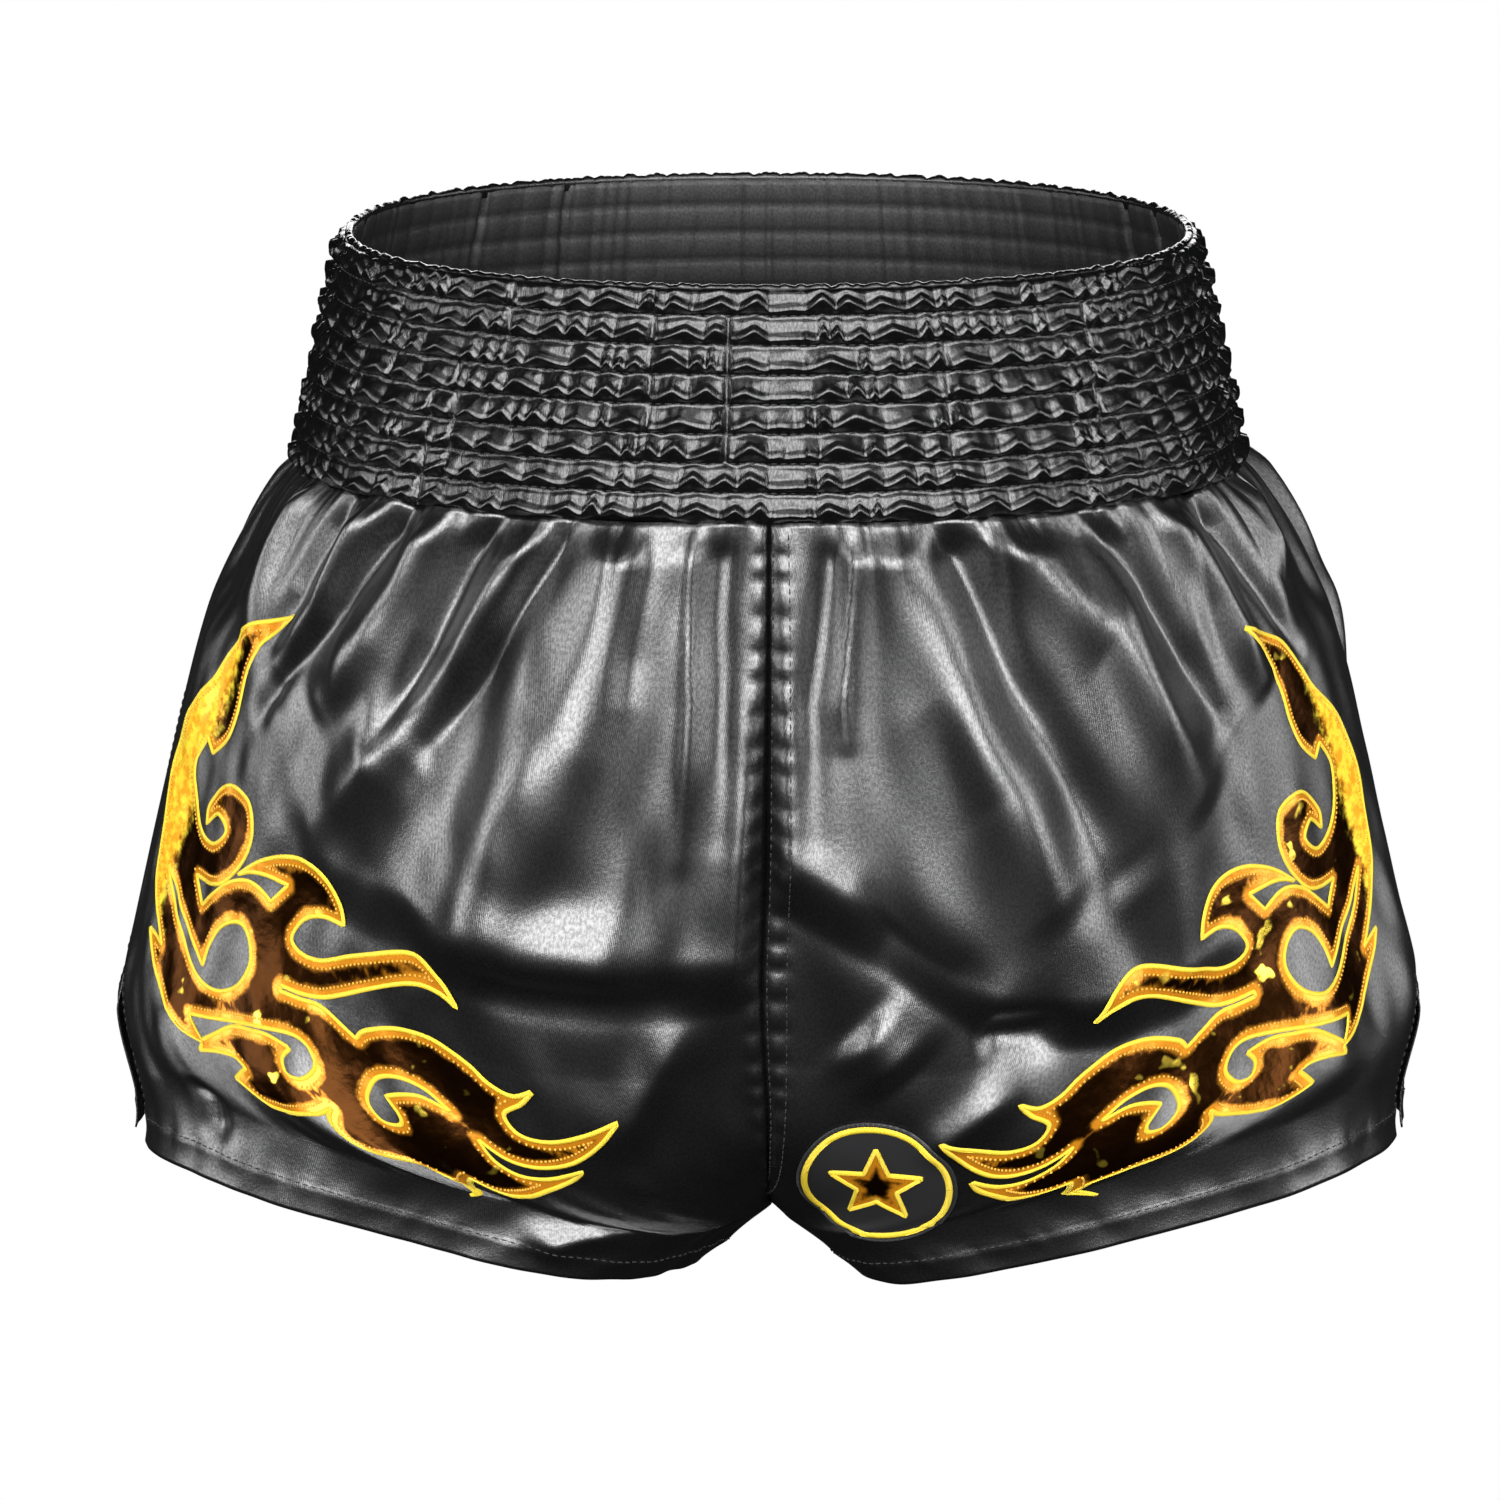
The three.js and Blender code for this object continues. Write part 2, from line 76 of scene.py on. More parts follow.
# %% [markdown]
# ## The worn surface
# The cloth hangs on an invisible body. One formula gives that body's surface for every panel: s runs from the
# side seam (0) to the centre seam or inseam (1), t from the waist seam (0) to the hem (1). The horizontal
# sections are rounded squares, which is what a stuffed pair of shorts looks like from above. Everything sewn
# on the cloth is placed by the same s and t, so it always lies on it. Lengths are millimetres here.

# %% Sizes of the worn surface
casing_low, casing_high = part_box("waistband_casing")
WAIST_SEAM = casing_low[2] / MM
WAIST_TOP = casing_high[2] / MM
BALANCE = (casing_low[1] + casing_high[1]) / 2 / MM
WAIST_HALF = (150, 110)
SEAM_HALF = (168, 114)
OVAL_POWER, HEM_POWER = 2.2, 2.6
HIP_SPRING, SPRING_REACH = 24, 0.1
SIDE_FLARE = 55
HEM_SIDE_HEIGHT, CROTCH_HEIGHT = 40, 20
CROTCH_ROW, SPLIT_ROW, VENT_ROW = 0.88, 0.55, 0.75
LEG_GAP_HALF = 23
PANEL_WIDTH, PANEL_HEIGHT = 300, 250
TUCK = {True: (22, 0.72), False: (17, 0.78)}
DEPTH = {True: (4, 0.6, 29, 0.2), False: (12, 0.8, 22, 0.3)}
print("waistband from", round(WAIST_SEAM, 1), "to", round(WAIST_TOP, 1), "mm, middle at y", round(BALANCE, 2))


# %% The surface itself
def smooth_step(value, low, high):
    share = np.clip((value - low) / (high - low), 0, 1)
    return share * share * (3 - 2 * share)


def mix(first, second, share):
    return first * (1 - share) + second * share


def rounded_square(angle, power):
    across, along = np.cos(angle), np.sin(angle)
    reach = (np.abs(across) ** power + np.abs(along) ** power) ** (-1 / power)
    return across * reach, along * reach


def half_width(t, is_front):
    tuck, start = TUCK[is_front]
    spring = HIP_SPRING * (1 - np.exp(-t / SPRING_REACH))
    return SEAM_HALF[0] + spring + SIDE_FLARE * t**0.95 - tuck * smooth_step(t, start, 1)


def half_depth(t, is_front):
    swell, swell_end, fall, fall_start = DEPTH[is_front]
    belly = swell * np.sin(np.pi * np.clip(t / swell_end, 0, 1))
    return SEAM_HALF[1] + belly - fall * smooth_step(t, fall_start, 1)


def worn_point(s, t, is_front):
    """A point of the right leg's cloth; below SPLIT_ROW the seam curves under towards the inseam"""
    width = half_width(t, is_front)
    below = np.clip((t - CROTCH_ROW) / (1 - CROTCH_ROW), 0, 1)
    turned = np.clip((t - SPLIT_ROW) / (CROTCH_ROW - SPLIT_ROW), 0, 1) ** 1.6
    end = np.pi / 2 * (1 - turned)
    power = mix(OVAL_POWER, HEM_POWER, smooth_step(t, SPLIT_ROW, 1))
    reach = rounded_square(end, power)[0]
    centre = width * reach / (1 + reach) + LEG_GAP_HALF * below / 2
    across, along = rounded_square(np.pi + s * (np.pi - end), power)
    rise = np.clip(1 - t / CROTCH_ROW, 0, 1) ** 1.1
    middle = np.where(t < CROTCH_ROW, mix(CROTCH_HEIGHT, WAIST_SEAM, rise), CROTCH_HEIGHT * (1 - below))
    side = mix(WAIST_SEAM, HEM_SIDE_HEIGHT, t)
    x = -centre + (width - centre) * across
    y = half_depth(t, is_front) * np.abs(along) * (-1 if is_front else 1)
    return np.stack([x, y + BALANCE, mix(side, middle, smooth_step(s, 0.16, 0.85))], axis=-1)


# %% [markdown]
# ## Folds
# Gathered satin falls in soft ridges with dark valleys between them. Each ridge is a path over the flat
# panel, in millimetres across from the side seam and up from the hem, with a height and a width; a valley
# is a ridge of negative height. Between them the cloth is never quite even, so a few long waves are added.

# %% Fold paths of the two front panels
# [height, half width, sharpness, path]
RIGHT_FRONT_FOLDS = [
    [3.0, 10, 2.0, [(78, 250), (75, 222), (78, 194)]],
    [4.0, 9, 2.0, [(132, 250), (120, 216), (101, 185)]],
    [4.5, 10, 2.0, [(168, 250), (148, 214), (124, 183)]],
    [6.0, 13, 1.7, [(210, 246), (172, 194), (128, 140)]],
    [6.5, 20, 2.0, [(244, 240), (231, 196), (195, 146), (182, 128)]],
    [2.4, 4, 1.2, [(271, 245), (274, 203), (273, 154)]],
    [-3.0, 6, 2.0, [(109, 250), (103, 216), (90, 196)]],
    [-5.0, 7, 1.6, [(147, 250), (131, 218), (104, 189), (92, 170)]],
    [-6.0, 8, 1.6, [(191, 249), (176, 212), (155, 178)]],
    [-5.0, 8, 1.6, [(221, 244), (200, 208), (174, 180)]],
    [-1.5, 5, 2.0, [(257, 241), (252, 202)]],
    [-2.0, 6, 1.8, [(282, 240), (285, 203), (288, 160)]],
    [5.0, 11, 2.0, [(190, 145), (223, 138), (254, 137), (280, 138)]],
    [-4.0, 7, 1.6, [(196, 133), (223, 125), (254, 124), (288, 124)]],
    [2.5, 7, 1.6, [(279, 119), (242, 68)]],
    [2.5, 8, 1.6, [(180, 8), (202, 34)]],
    [-2.5, 6, 1.6, [(71, 40), (77, 12)]],
]
LEFT_FRONT_FOLDS = [
    [2.2, 4, 1.2, [(269, 240), (275, 203), (274, 188)]],
    [5.5, 16, 2.0, [(251, 240), (239, 207), (218, 183), (200, 140)]],
    [5.5, 12, 1.8, [(207, 243), (173, 218), (153, 184), (140, 157)]],
    [4.0, 10, 2.0, [(132, 250), (114, 221), (97, 184)]],
    [3.0, 9, 2.0, [(54, 250), (66, 217)]],
    [4.0, 12, 2.0, [(272, 115), (254, 98)]],
    [-2.0, 6, 1.8, [(277, 240), (285, 203), (285, 160)]],
    [-6.0, 12, 1.8, [(229, 239), (208, 199), (186, 154), (178, 140)]],
    [-5.0, 8, 1.6, [(169, 247), (147, 214), (125, 177)]],
    [-4.0, 7, 1.6, [(101, 250), (88, 224), (64, 188)]],
    [-3.5, 8, 1.6, [(226, 123), (259, 143), (274, 157)]],
    [-4.0, 7, 1.6, [(238, 110), (204, 110)]],
    [2.5, 7, 1.8, [(250, 70), (216, 96)]],
]


def fold_height(across, up, fold):
    """How far one fold lifts the cloth; it fades out along the last third of its path"""
    height, width, sharpness, path = fold
    path = np.array(path, float)
    steps = np.linalg.norm(np.diff(path, axis=0), axis=1)
    travelled = np.concatenate([[0], np.cumsum(steps)])
    nearest = np.full(across.shape, np.inf)
    share = np.zeros(across.shape)
    for start, end, before, step in zip(path[:-1], path[1:], travelled, steps):
        line = (end - start) / step
        along = np.clip((across - start[0]) * line[0] + (up - start[1]) * line[1], 0, step)
        distance = np.hypot(across - start[0] - along * line[0], up - start[1] - along * line[1])
        closer = distance < nearest
        nearest = np.where(closer, distance, nearest)
        share = np.where(closer, (before + along) / travelled[-1], share)
    fade = 1 - smooth_step(share, 0.62, 1)
    if path[0][1] < 230:
        fade = fade * smooth_step(share, 0, 0.3)
    else:
        fade = 0.25 + 0.75 * fade
        fade = fade * (1 - smooth_step(share, 0.9, 1) * 0.8)
    return height * fade * np.exp(-((nearest / width) ** sharpness))


def belly(across, up, is_front, is_left):
    """The cloth blouses out over the lap and drops back under it in one cross fold"""
    if not is_front:
        return 6 * smooth_step(across, 60, 200) * np.exp(-(((up - 160) / 60) ** 2))
    if is_left:
        fold_line = np.interp(across, (190, 230, 262, 290), (104, 114, 138, 150))
    else:
        fold_line = np.interp(across, (180, 222, 255, 290), (132, 124, 123, 124))
    rise = smooth_step(PANEL_HEIGHT - up, 0, 105)
    drop = smooth_step(up - fold_line, -8, 12)
    return 13 * smooth_step(across, 100, 205) * rise * drop


def random_folds(seed):
    """Folds for a panel seen only from behind: ridges and valleys in turn, fanning out from the waist"""
    draw = np.random.default_rng(seed)
    folds = []
    for number, start in enumerate(np.arange(20, 290, 21)):
        height = draw.uniform(2, 4) * (1 if number % 2 else -1)
        lean = (start - 230) * draw.uniform(0.1, 0.3)
        end = draw.uniform(110, 190)
        path = [(start, 250), (start + lean * 0.4, (250 + end) / 2), (start + lean, end)]
        folds.append([height, draw.uniform(8, 15), draw.uniform(1.5, 2), path])
    for height, drop in ((4, 128), (-4, 112)):
        path = [(150, drop + draw.uniform(0, 10)), (210, drop), (285, drop + draw.uniform(-8, 8))]
        folds.append([height, 9, 1.8, path])
    return folds


def waves(across, up, seed, height, length):
    draw = np.random.default_rng(seed)
    total = np.zeros(across.shape)
    for _ in range(7):
        angle = draw.uniform(-0.9, 0.9)
        pitch = length * draw.uniform(0.6, 1.6)
        phase = 2 * np.pi * (across * np.cos(angle) + up * np.sin(angle)) / pitch + draw.uniform(0, 6.3)
        total += np.sin(phase)
    return height * total / 2.6


print("folds placed on the front panels:", len(RIGHT_FRONT_FOLDS) + len(LEFT_FRONT_FOLDS))

# %% [markdown]
# ## From a grid to a piece
# bmesh makes the flat grid with its UV map; each vertex then moves to its place. The UV map keeps the cloth's
# own directions, so the weave follows the folds.


# %% Piece helpers
def grid_mesh(name, points):
    """A mesh of a grid of points, rows from top to bottom, in metres"""
    rows, columns = points.shape[0] - 1, points.shape[1] - 1
    grid = bmesh.new()
    grid.loops.layers.uv.new("UVMap")
    bmesh.ops.create_grid(grid, x_segments=columns, y_segments=rows, size=0.5, calc_uvs=True)
    mesh = bpy.data.meshes.new(name)
    grid.to_mesh(mesh)
    grid.free()
    flat = np.empty(len(mesh.vertices) * 3)
    mesh.vertices.foreach_get("co", flat)
    flat = flat.reshape(-1, 3)
    column = np.rint((flat[:, 0] + 0.5) * columns).astype(int)
    row = np.rint((0.5 - flat[:, 1]) * rows).astype(int)
    mesh.vertices.foreach_set("co", (points[row, column] * MM).ravel())
    return mesh


def merged(mesh, distance=0.00002):
    """Closes a grid that meets itself, and drops faces that have shrunk to nothing"""
    body = bmesh.new()
    body.from_mesh(mesh)
    bmesh.ops.remove_doubles(body, verts=body.verts, dist=distance)
    bmesh.ops.dissolve_degenerate(body, edges=body.edges, dist=distance / 4)
    body.to_mesh(mesh)
    body.free()
    return mesh


def make_piece(mesh, material, slot, replaces=()):
    """A shaded object on the one body of the shorts; gold is left out of what the satin mirrors"""
    mesh.materials.clear()
    mesh.materials.append(material)
    mesh.shade_smooth()
    piece = bpy.data.objects.new(mesh.name, mesh)
    bpy.context.scene.collection.objects.link(piece)
    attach(piece, "root")
    piece.visible_glossy = not slot.startswith("gold")
    if replaces:
        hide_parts(*replaces)
    return piece


def area_of(mesh):
    return sum(face.area for face in mesh.polygons)


# %% [markdown]
# ## Puckers
# Where cloth is sewn to something shorter it stands up in little puffs between sharp creases. A row of puffs
# is a line cut into cells of uneven width; within a cell the height is an arch.


# %% Cells of uneven width
def cell_edges(length, mean, seed, spread=0.5):
    draw = np.random.default_rng(seed)
    widths = draw.uniform(1 - spread, 1 + spread, max(2, int(length / mean)))
    return np.concatenate([[0], np.cumsum(widths)]) * length / widths.sum()


def cell_of(position, edges):
    number = np.clip(np.searchsorted(edges, position, side="right") - 1, 0, len(edges) - 2)
    return number, (position - edges[number]) / (edges[number + 1] - edges[number])


def puffs(position, edges, power=0.6):
    _, phase = cell_of(position, edges)
    return np.sin(np.pi * np.clip(phase, 0, 1)) ** power


# %% [markdown]
# ## The cloth of one panel
# Each panel is a fine grid over the worn surface, pushed out along its normal by folds, gathers and puckers.
# The class keeps the grid, so that stitches and foil can ask for any point of it.

# %% Panel surface
COLUMNS, ROWS = 200, 170
FOLD_DEPTH = 1.9
GATHER_REACH = 22
SEAM_PUCKER = 8
CASING_COVER = 12


class Cloth:
    """The grid of one panel, and the place of any point on it"""

    def __init__(self, is_front, is_left, folds, seed):
        self.is_front, self.is_left = is_front, is_left
        s, t = np.meshgrid(np.linspace(0, 1, COLUMNS + 1), np.linspace(0, 1, ROWS + 1))
        self.points = worn_point(s, t, is_front)
        if is_left:
            self.points[:, :, 0] *= -1
        lift = self.lift(s * PANEL_WIDTH, (1 - t) * PANEL_HEIGHT, folds, seed)
        self.points = self.points + self.normals() * lift[:, :, None]

    def lift(self, across, up, folds, seed):
        from_waist = (PANEL_HEIGHT - up) * 1.12
        from_centre = PANEL_WIDTH - across
        height = FOLD_DEPTH * sum(fold_height(across, up, fold) for fold in folds)
        height = height + belly(across, up, self.is_front, self.is_left)
        height = height * (0.3 + 0.7 * smooth_step(from_waist, 0, CASING_COVER))
        gathers = puffs(across, cell_edges(PANEL_WIDTH, 19, seed)) - 0.6
        height = height + 2.2 * gathers * np.exp(-from_waist / GATHER_REACH)
        tucks = puffs(across + 0.1 * from_waist, cell_edges(PANEL_WIDTH + 40, 8, seed + 6)) - 0.6
        height = height + 0.9 * tucks * np.exp(-from_waist / 9)
        height = height + waves(across, up, seed + 1, 1.3, 85) + waves(across, up, seed + 2, 0.25, 22)
        free_side = smooth_step(up, PANEL_HEIGHT * (1 - VENT_ROW) + 6, PANEL_HEIGHT * (1 - VENT_ROW) - 6)
        height = height * np.maximum(smooth_step(across, 0, 14), 0.5 * free_side)
        height = height * smooth_step(from_centre, 0, 9)
        rise = puffs(up, cell_edges(PANEL_HEIGHT, SEAM_PUCKER, 5, 0.25), 0.8)
        seam_place, seam_width = (4.5, 3) if self.is_left else (3, 2.5)
        seam = np.exp(-((from_centre - seam_place) / seam_width) ** 2)
        height = height + 1.3 * seam * rise - 1.2 * np.exp(-((from_centre / 1.5) ** 2))
        hem = puffs(across, cell_edges(PANEL_WIDTH, 12, seed + 3, 0.4))
        height = height + 0.5 * hem * np.exp(-(((up - 11) / 4) ** 2)) + 0.35 * (up < 11.5)
        return height

    def normals(self):
        across = np.gradient(self.points, axis=1)
        down = np.gradient(self.points, axis=0)
        outward = np.cross(down, across) if self.is_front != self.is_left else np.cross(across, down)
        return outward / np.maximum(np.linalg.norm(outward, axis=-1, keepdims=True), 1e-9)

    def at(self, s, t, lift=0.0):
        """Points at s and t, raised by lift off the cloth"""
        s, t = np.asarray(s, float), np.asarray(t, float)
        column = np.clip(s * COLUMNS, 0, COLUMNS - 1e-6)
        row = np.clip(t * ROWS, 0, ROWS - 1e-6)
        left, top = column.astype(int), row.astype(int)
        right_share, down_share = (column - left)[..., None], (row - top)[..., None]

        def blended(grid):
            upper = grid[top, left] * (1 - right_share) + grid[top, left + 1] * right_share
            lower = grid[top + 1, left] * (1 - right_share) + grid[top + 1, left + 1] * right_share
            return upper * (1 - down_share) + lower * down_share

        return blended(self.points) + blended(self.steady_normals) * np.asarray(lift)[..., None]

    def settle(self):
        self.steady_normals = self.normals()


WELD_REACH = 8
cloths = {
    "front_panel_right": Cloth(True, False, RIGHT_FRONT_FOLDS, 11),
    "front_panel_left": Cloth(True, True, LEFT_FRONT_FOLDS, 21),
    "back_panel_right": Cloth(False, False, random_folds(31), 31),
    "back_panel_left": Cloth(False, True, random_folds(41), 41),
}


def weld(first, second, edge, strength):
    """Two panels share their seam: both edges move to the middle, and the cloth beside them follows"""
    gap = (second[:, edge] - first[:, edge]) / 2 * strength[:, None]
    for step in range(WELD_REACH):
        column = step if edge == 0 else -1 - step
        first[:, column] += gap * (1 - step / WELD_REACH)
        second[:, column] -= gap * (1 - step / WELD_REACH)


def close_seams():
    row = np.arange(ROWS + 1)
    side_seam = 1 - smooth_step(row, VENT_ROW * ROWS, VENT_ROW * ROWS + 12)
    crotch_start = int(CROTCH_ROW * ROWS)
    for side in ("right", "left"):
        front, back = cloths[f"front_panel_{side}"].points, cloths[f"back_panel_{side}"].points
        weld(front, back, 0, side_seam)
        weld(front, back, -1, (row >= crotch_start) * 1.0)
    for face in ("front", "back"):
        right, left = cloths[f"{face}_panel_right"].points, cloths[f"{face}_panel_left"].points
        weld(right, left, -1, (row <= crotch_start) * 1.0)


close_seams()
print("cloth points:", {name: cloth.points.shape for name, cloth in cloths.items()})

# %% [markdown]
# ## Letting the cloth settle
# The placed folds are too even. So the four panels are joined at their seams into one cloth, cut a little
# larger than it hangs, pinned at the waistband, and left to settle for a short while over a body form. The
# extra cloth buckles and sags between the placed folds. How far each point moved is smoothed and added to the
# fine grids, and the seams are closed once more.

# %% Cloth simulation
SETTLE_EVERY = 2
SETTLE_FRAMES = 24
SPARE_CLOTH = 0.028
BODY_GAP = 9
MOST_MOVE = 14


def coarse(cloth):
    return cloth.points[::SETTLE_EVERY, ::SETTLE_EVERY]


def joined_panels(name, grids):
    body = bmesh.new()
    for grid in grids:
        part = grid_mesh(name, grid)
        body.from_mesh(part)
        bpy.data.meshes.remove(part)
    bmesh.ops.remove_doubles(body, verts=body.verts, dist=0.0001)
    bmesh.ops.recalc_face_normals(body, faces=body.faces)
    mesh = bpy.data.meshes.new(name)
    body.to_mesh(mesh)
    body.free()
    thing = bpy.data.objects.new(name, mesh)
    bpy.context.scene.collection.objects.link(thing)
    return thing


def body_form():
    """The wearer's body: the worn surface drawn in by a gap, and by more towards the hems"""
    grids = []
    s, t = np.meshgrid(np.linspace(0, 1, 41), np.linspace(0, 1, 41))
    for is_front in (True, False):
        form = worn_point(s, t, is_front)
        middle = np.array([-92.0, BALANCE, 0]) * smooth_step(t, 0.4, 0.9)[..., None]
        middle[..., 1] = BALANCE
        reach = np.maximum(np.linalg.norm((form - middle)[..., :2], axis=-1, keepdims=True), 1)
        gap = (BODY_GAP + 22 * smooth_step(t, 0.3, 1))[..., None]
        inward = (form - middle) / reach * gap
        inward[..., 2] = 0
        form = form - inward
        grids += [form, form * (-1, 1, 1)]
    return joined_panels("body form", grids)


def settle_cloth():
    cloth_object = joined_panels("joined cloth", [coarse(cloth) for cloth in cloths.values()])
    body = body_form()
    body.modifiers.new("collision", "COLLISION")
    body.collision.thickness_outer = 0.001
    body.collision.cloth_friction = 8
    start = np.empty(len(cloth_object.data.vertices) * 3)
    cloth_object.data.vertices.foreach_get("co", start)
    start = start.reshape(-1, 3)
    tree = KDTree(len(start))
    for number, spot in enumerate(start):
        tree.insert(spot, number)
    tree.balance()
    numbers = {}
    held = cloth_object.vertex_groups.new(name="held")
    for name, cloth in cloths.items():
        grid = coarse(cloth) * MM
        rows = grid.shape[0]
        found = np.array([[tree.find(place)[1] for place in line] for line in grid])
        numbers[name] = found
        for row in range(rows):
            t = row / (rows - 1)
            grip = 1.0 if row < 2 else 0.06 + 0.25 * float(smooth_step(t, 0.93, 1))
            held.add([int(number) for number in found[row]], grip, "REPLACE")
        for column, grip in ((0, 0.35), (-1, 0.3)):
            held.add([int(number) for number in found[2:, column]], grip, "REPLACE")
    settings = cloth_object.modifiers.new("cloth", "CLOTH").settings
    settings.quality = 5
    settings.mass = 0.12
    settings.tension_stiffness = settings.compression_stiffness = 20
    settings.shear_stiffness = 12
    settings.bending_model = "ANGULAR"
    settings.bending_stiffness = 40
    settings.air_damping = 1.5
    settings.vertex_group_mass = "held"
    settings.pin_stiffness = 1.0
    settings.shrink_min = -SPARE_CLOTH
    cloth_object.modifiers["cloth"].collision_settings.distance_min = 0.001
    scene = bpy.context.scene
    scene.frame_start, scene.frame_end = 1, SETTLE_FRAMES
    for number in range(1, SETTLE_FRAMES + 1):
        scene.frame_set(number)
    shape = cloth_object.evaluated_get(bpy.context.evaluated_depsgraph_get()).data
    end = np.empty(len(start) * 3)
    shape.vertices.foreach_get("co", end)
    move = (end.reshape(-1, 3) - start) / MM
    length = np.linalg.norm(move, axis=1, keepdims=True)
    average, most = float(length.mean()), float(length.max())
    print("cloth moved by", round(average, 2), "mm on average, at most", round(most, 1))
    move = move / np.maximum(length, 1e-9) * MOST_MOVE * np.tanh(length / MOST_MOVE)
    bpy.data.objects.remove(cloth_object)
    bpy.data.objects.remove(body)
    scene.frame_set(1)
    return {name: move[found] for name, found in numbers.items()}


def evened(move, passes):
    """Takes out ripples finer than a few grid steps"""
    for _ in range(passes):
        for axis in (0, 1):
            lead = np.roll(move, 1, axis)
            trail = np.roll(move, -1, axis)
            first = [slice(None)] * 3
            last = [slice(None)] * 3
            first[axis], last[axis] = 0, -1
            lead[tuple(first)] = move[tuple(first)]
            trail[tuple(last)] = move[tuple(last)]
            move = (lead + 2 * move + trail) / 4
    return move


def calmed(move):
    """Double cloth at the hems and the sewn flames at the sides take only long, low ripples"""
    rows, columns = move.shape[:2]
    s, t = np.meshgrid(np.linspace(0, 1, columns), np.linspace(0, 1, rows))
    to_hem = (1 - t) * PANEL_HEIGHT
    to_side = s * PANEL_WIDTH + 80 * (1 - smooth_step(t, 0.10, 0.25))
    free = smooth_step(np.minimum(to_hem, to_side), 10, 90)[..., None]
    return mix(0.3 * evened(move, 60), evened(move, 8), free)


def finer(move):
    """Spreads a move known at every second grid point over all of them"""
    rows, columns = move.shape[:2]
    fine_rows = np.linspace(0, rows - 1, ROWS + 1)
    fine_columns = np.linspace(0, columns - 1, COLUMNS + 1)
    top = np.clip(fine_rows.astype(int), 0, rows - 2)
    left = np.clip(fine_columns.astype(int), 0, columns - 2)
    down, right = (fine_rows - top)[:, None, None], (fine_columns - left)[None, :, None]
    upper = move[top][:, left] * (1 - right) + move[top][:, left + 1] * right
    lower = move[top + 1][:, left] * (1 - right) + move[top + 1][:, left + 1] * right
    return upper * (1 - down) + lower * down


for name, move in settle_cloth().items():
    cloths[name].points = cloths[name].points + finer(calmed(move))
close_seams()
for cloth in cloths.values():
    cloth.settle()

# %% [markdown]
# ## Finishes
# Shader sums are easier to read as Python than as nodes. `Wire` is one value on its way through a shader,
# with the arithmetic that is used; `Finish` is one material and its nodes.


# %% Shader helpers
class Wire:
    """One value of a shader, so that sums of values read as Python"""

    def __init__(self, finish, socket):
        self.finish, self.socket = finish, socket

    def sum_of(self, operation, first, second):
        return self.finish.node("ShaderNodeMath", {"operation": operation}, {0: first, 1: second})

    def __add__(self, other):
        return self.sum_of("ADD", self, other)

    def __radd__(self, other):
        return self.sum_of("ADD", other, self)

    def __sub__(self, other):
        return self.sum_of("SUBTRACT", self, other)

    def __rsub__(self, other):
        return self.sum_of("SUBTRACT", other, self)

    def __mul__(self, other):
        return self.sum_of("MULTIPLY", self, other)

    def __rmul__(self, other):
        return self.sum_of("MULTIPLY", other, self)

    def __pow__(self, other):
        return self.sum_of("POWER", self, other)

    def __gt__(self, other):
        return self.sum_of("GREATER_THAN", self, other)


class Finish:
    """One material: node() makes any node, and the rest are shorthands for it"""

    def __init__(self, name):
        self.material = bpy.data.materials.new(name)
        self.material.use_nodes = True
        self.tree = self.material.node_tree
        self.tree.nodes.clear()

    def node(self, kind, settings=None, sockets=None, output=0):
        node = self.tree.nodes.new(kind)
        for key, value in (settings or {}).items():
            setattr(node, key, value)
        for key, value in (sockets or {}).items():
            if isinstance(value, Wire):
                self.tree.links.new(value.socket, node.inputs[key])
            else:
                node.inputs[key].default_value = value
        return Wire(self, node.outputs[output]) if len(node.outputs) else None

    def sewn_place(self, width, length):
        """The piece's UV map in metres, so that a weave keeps its scale"""
        uv = self.node("ShaderNodeUVMap", {"uv_map": "UVMap"})
        return self.node("ShaderNodeVectorMath", {"operation": "MULTIPLY"}, {0: uv, 1: (width, length, 1)})

    def object_place(self):
        return self.node("ShaderNodeTexCoord", output="Object")

    def stretched(self, place, scale):
        return self.node("ShaderNodeVectorMath", {"operation": "MULTIPLY"}, {0: place, 1: scale})

    def noise(self, place, scale, detail=2.0, roughness=0.5):
        sockets = {"Vector": place, "Scale": scale, "Detail": detail, "Roughness": roughness}
        return self.node("ShaderNodeTexNoise", {}, sockets)

    def stripes(self, place, scale, direction="X"):
        settings = {"wave_type": "BANDS", "bands_direction": direction, "wave_profile": "SIN"}
        return self.node("ShaderNodeTexWave", settings, {"Vector": place, "Scale": scale})

    def attribute(self, name):
        return self.node("ShaderNodeAttribute", {"attribute_name": name}, output="Fac")

    def blend(self, share, first, second):
        settings = {"data_type": "RGBA"}
        sockets = {0: share, 6: (*first, 1) if isinstance(first, tuple) else first}
        sockets[7] = (*second, 1) if isinstance(second, tuple) else second
        return self.node("ShaderNodeMix", settings, sockets, output=2)

    def graded(self, value, low, high):
        """The value spread from 0 to 1 between two limits, softly"""
        settings = {"interpolation_type": "SMOOTHSTEP"}
        return self.node("ShaderNodeMapRange", settings, {"Value": value, "From Min": low, "From Max": high})

    def close(self, height, distance, strength, **surface):
        bump = {"Height": height, "Distance": distance, "Strength": strength}
        normal = self.node("ShaderNodeBump", {}, bump)
        sockets = {key.replace("_", " "): value for key, value in surface.items()}
        shader = self.node("ShaderNodeBsdfPrincipled", {}, {**sockets, "Normal": normal})
        self.node("ShaderNodeOutputMaterial", {}, {"Surface": shader})
        return self.material


# %% [markdown]
# ## Black satin
# Satin shines because its threads float side by side over the surface. It is nearly black in itself, and all
# that shows is a broad soft gloss with a fine grain of threads. So the base colour stays dark, the gloss is
# high but rough, and a stretched noise gives the grain in the metallic share, the roughness and the bump.


